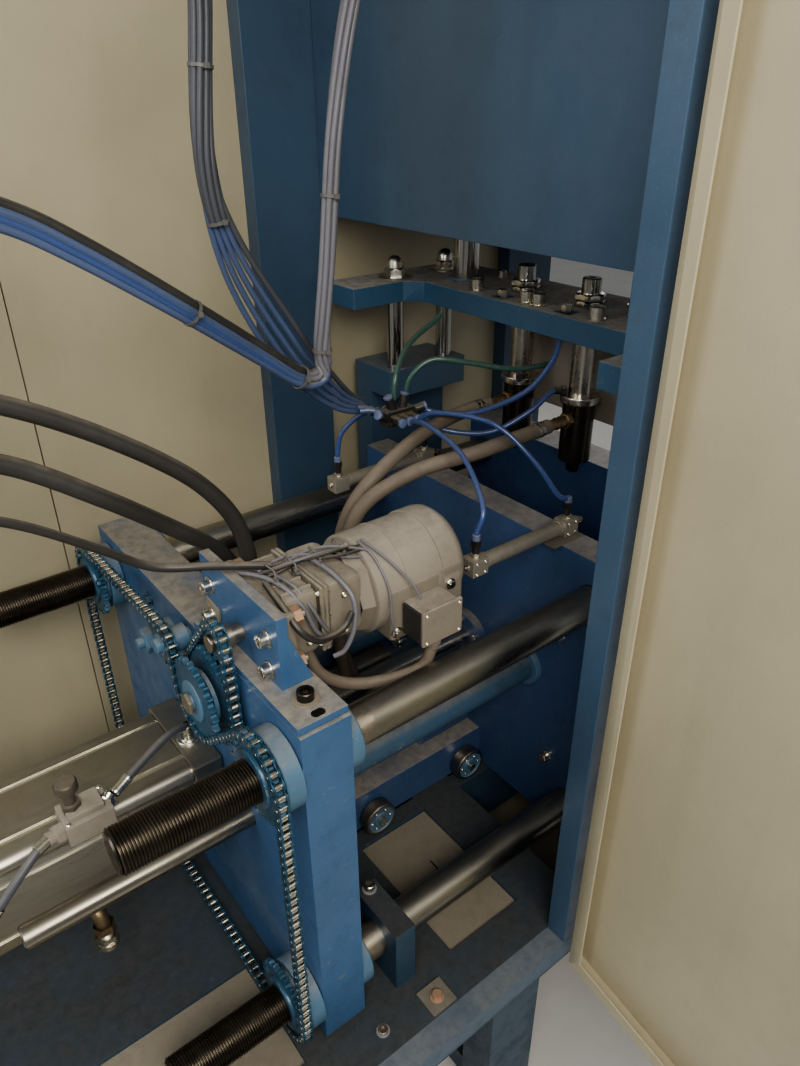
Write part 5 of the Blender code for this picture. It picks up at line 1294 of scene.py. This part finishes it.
deck = Piece("deck_fastenings")
for side in (-1, 1):
    low_y, high_y = sorted((side * 0.382, side * 0.43))
    deck.box((-0.202, low_y, 0.4995), (-0.152, high_y, 0.5045), PLATE_GREY, 0.001)
    hex_head(deck, (-0.177, side * 0.407, 0.5045), UP, 0.0085, 0.006, RUSTY, 0.012, RUSTY)
for side in (-1, 1):
    socket_screw(deck, (-0.201, side * 0.254, 0.635), UP, 0.0098, 0.0125, ZINC, 0.013, PAINT)
    for x in (-0.94, -0.66, -0.28, 0.3, 0.64, 0.92):
        socket_screw(deck, (x, side * 0.395, 0.5), UP, 0.008, 0.0045, WORN_STEEL, 0.0115, PAINT)
    for x in (0.6, 0.7):
        hex_head(deck, (x, side * 0.3, 0.525), UP, 0.012, 0.01, ZINC, 0.019)
deck.done("frame", "polished_steel")

platen_trim = Piece("rear_platen_trim")
for label, (y, z) in NUTS.items():
    platen_trim.lathe_mm(((-283.2, 49.2), (-264, 49.2), (-261.2, 47.8), (-260.6, 47), (-260.6, 30.8)),
        PAINT_LIGHT, along_x(y, z), 56)
at_boss = turned(BACKWARD, (-0.358, 0.045, 1.075))
platen_trim.lathe_mm(((-1, 25), (18, 25), (20, 23.5), (20, 12), (34, 12), (34, 18, 6), (46, 18, 6),
    (48, 16.5), (48, 9), (58, 8.5), (58, 0)), PAINT_LIGHT, at_boss, 36)
for z in (1.095, 1.045):
    hex_head(platen_trim, (-0.358, 0.125, z), BACKWARD, 0.0085, 0.007, SPROCKET, 0.0125, SPROCKET)
for y in (-0.23, 0.23):
    for z in (0.64, 0.96):
        socket_screw(platen_trim, (-0.283, y, z), AHEAD, 0.008, 0.005, PAINT, 0.0115, PAINT)
for y in (-0.052, 0.028):
    socket_screw(platen_trim, (-0.238, y, 1.07), UP, 0.0055, 0.005)
platen_trim.done("rear_platen", "blue_paint")

moving_trim = Piece("moving_platen_trim")
for side, z in GUIDE_Z.items():
    moving_trim.lathe_mm(((0, 42), (10, 42), (12, 40.5), (12, 30.2)), PAINT_LIGHT,
        turned(BACKWARD, (MOVING_X, side * GUIDE_Y, z)), 48)
moving_trim.lathe_mm(((0, 60), (16, 60), (18, 58), (18, 25.5)), PAINT, turned(BACKWARD, (MOVING_X, 0, MID_Z)),
    56)
for number in range(6):
    y, z = polar(0.047, math.radians(60 * number + 30))
    socket_screw(moving_trim, (MOVING_X - 0.018, y, MID_Z + z), BACKWARD, 0.0062, 0.006)
for y in (-0.24, 0.24):
    for z in (0.66, 0.96):
        socket_screw(moving_trim, (MOVING_X, y, z), BACKWARD, 0.0095, 0.01, ZINC, 0.014)
moving_trim.box((0.225, -0.226, 1.137), (0.303, -0.168, 1.1378), PLATE_GREY, 0.0)
moving_trim.done("moving_platen", "blue_paint")

rail_fittings = Piece("hose_rail_fittings")
for y, z, radius in ((0.05, 1.6, 0.017), (-0.04, 1.59, 0.017), (-0.14, 1.6, 0.011), (-0.22, 1.605, 0.018)):
    rail_fittings.lathe(((-0.003, radius, 6), (0.008, radius, 6), (0.01, radius * 0.9),
        (0.016, radius * 0.86), (0.016, radius * 0.6)), ZINC, turned(AHEAD, (-0.96, y, z)), 36)
rail_fittings.done("frame", "polished_steel")


# CAD nodes that keep their shape: small rounded edges and a painted finish

BEVEL_ABOVE_DEG = 40.0


def dress(node, material, edge=0.0015):
    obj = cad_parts[node]
    obj.data.materials.clear()
    obj.data.materials.append(material)
    weld = obj.modifiers.new("weld", "WELD")
    weld.merge_threshold = 1e-5
    bevel = obj.modifiers.new("edge", "BEVEL")
    bevel.width = edge
    bevel.segments = 2
    bevel.limit_method = "ANGLE"
    bevel.angle_limit = math.radians(BEVEL_ABOVE_DEG)
    bevel.use_clamp_overlap = True
    bevel.harden_normals = False


dress("base_frame", PAINT_BASE)
# The rear platen takes the lighter copy of the blue paint: painted light.
dress("rear_platen", PAINT_LIT_COPY)
for node in ("moving_platen", "front_platen"):
    dress(node, PAINT)
# The tall frames and the head box take the darker copy of the blue paint: painted shade.
for node in ("enclosure_frame", "tower_frame", "head_box"):
    dress(node, PAINT_SHADED_COPY)
dress("pin_carriage", PAINT_CARRIAGE)
for node in ("far_panel_left", "far_panel_right", "far_panel_back", "door"):
    dress(node, CREAM, 0.0012)
dress("drip_tray", TRAY, 0.001)


# Floor and light

def plane(name, low, high, z, material):
    mesh = bpy.data.meshes.new(name)
    mesh.from_pydata([(low[0], low[1], z), (high[0], low[1], z), (high[0], high[1], z), (low[0], high[1], z)],
        [], [(0, 1, 2, 3)])
    mesh.materials.append(material)
    obj = bpy.data.objects.new(name, mesh)
    bpy.context.scene.collection.objects.link(obj)
    return obj


FLOOR = finish("pale_floor", (0.55, 0.54, 0.51), (0.55, 0.75), grime=0.05, vary=0.04, bump=0.05)
plane("floor", (-9.0, -9.0), (9.0, 9.0), -0.0005, FLOOR)

world = bpy.data.worlds.new("studio")
world.use_nodes = True
world.node_tree.nodes["Background"].inputs["Color"].default_value = (0.78, 0.8, 0.83, 1.0)
world.node_tree.nodes["Background"].inputs["Strength"].default_value = 0.3
bpy.context.scene.world = world


def soft_light(name, place, target, size, power, color):
    data = bpy.data.lights.new(name, "AREA")
    data.shape = "RECTANGLE"
    data.size, data.size_y = size
    data.energy = power
    data.color = color
    obj = bpy.data.objects.new(name, data)
    bpy.context.scene.collection.objects.link(obj)
    facing = (Vector(place) - Vector(target)).to_track_quat("Z", "Y").to_matrix().to_4x4()
    obj.matrix_world = Matrix.Translation(place) @ facing


soft_light("key", (-0.9, -2.8, 3.4), (-0.1, 0.0, 1.0), (2.2, 1.6), 85.0, (1.0, 0.95, 0.87))
soft_light("near_camera", (-1.15, -1.35, 2.25), (0.2, 0.0, 1.2), (0.7, 0.7), 13.0, (1.0, 0.96, 0.9))
soft_light("fill", (-3.2, 0.4, 2.6), (0.0, 0.0, 1.1), (2.0, 2.0), 38.0, (0.95, 0.97, 1.0))
soft_light("back", (2.6, 2.2, 3.2), UP, (2.0, 2.0), 40.0, (1.0, 0.97, 0.92))

view = bpy.context.scene.view_settings
view.view_transform = "AgX"
view.look = "AgX - Medium High Contrast"
view.exposure = 0.0
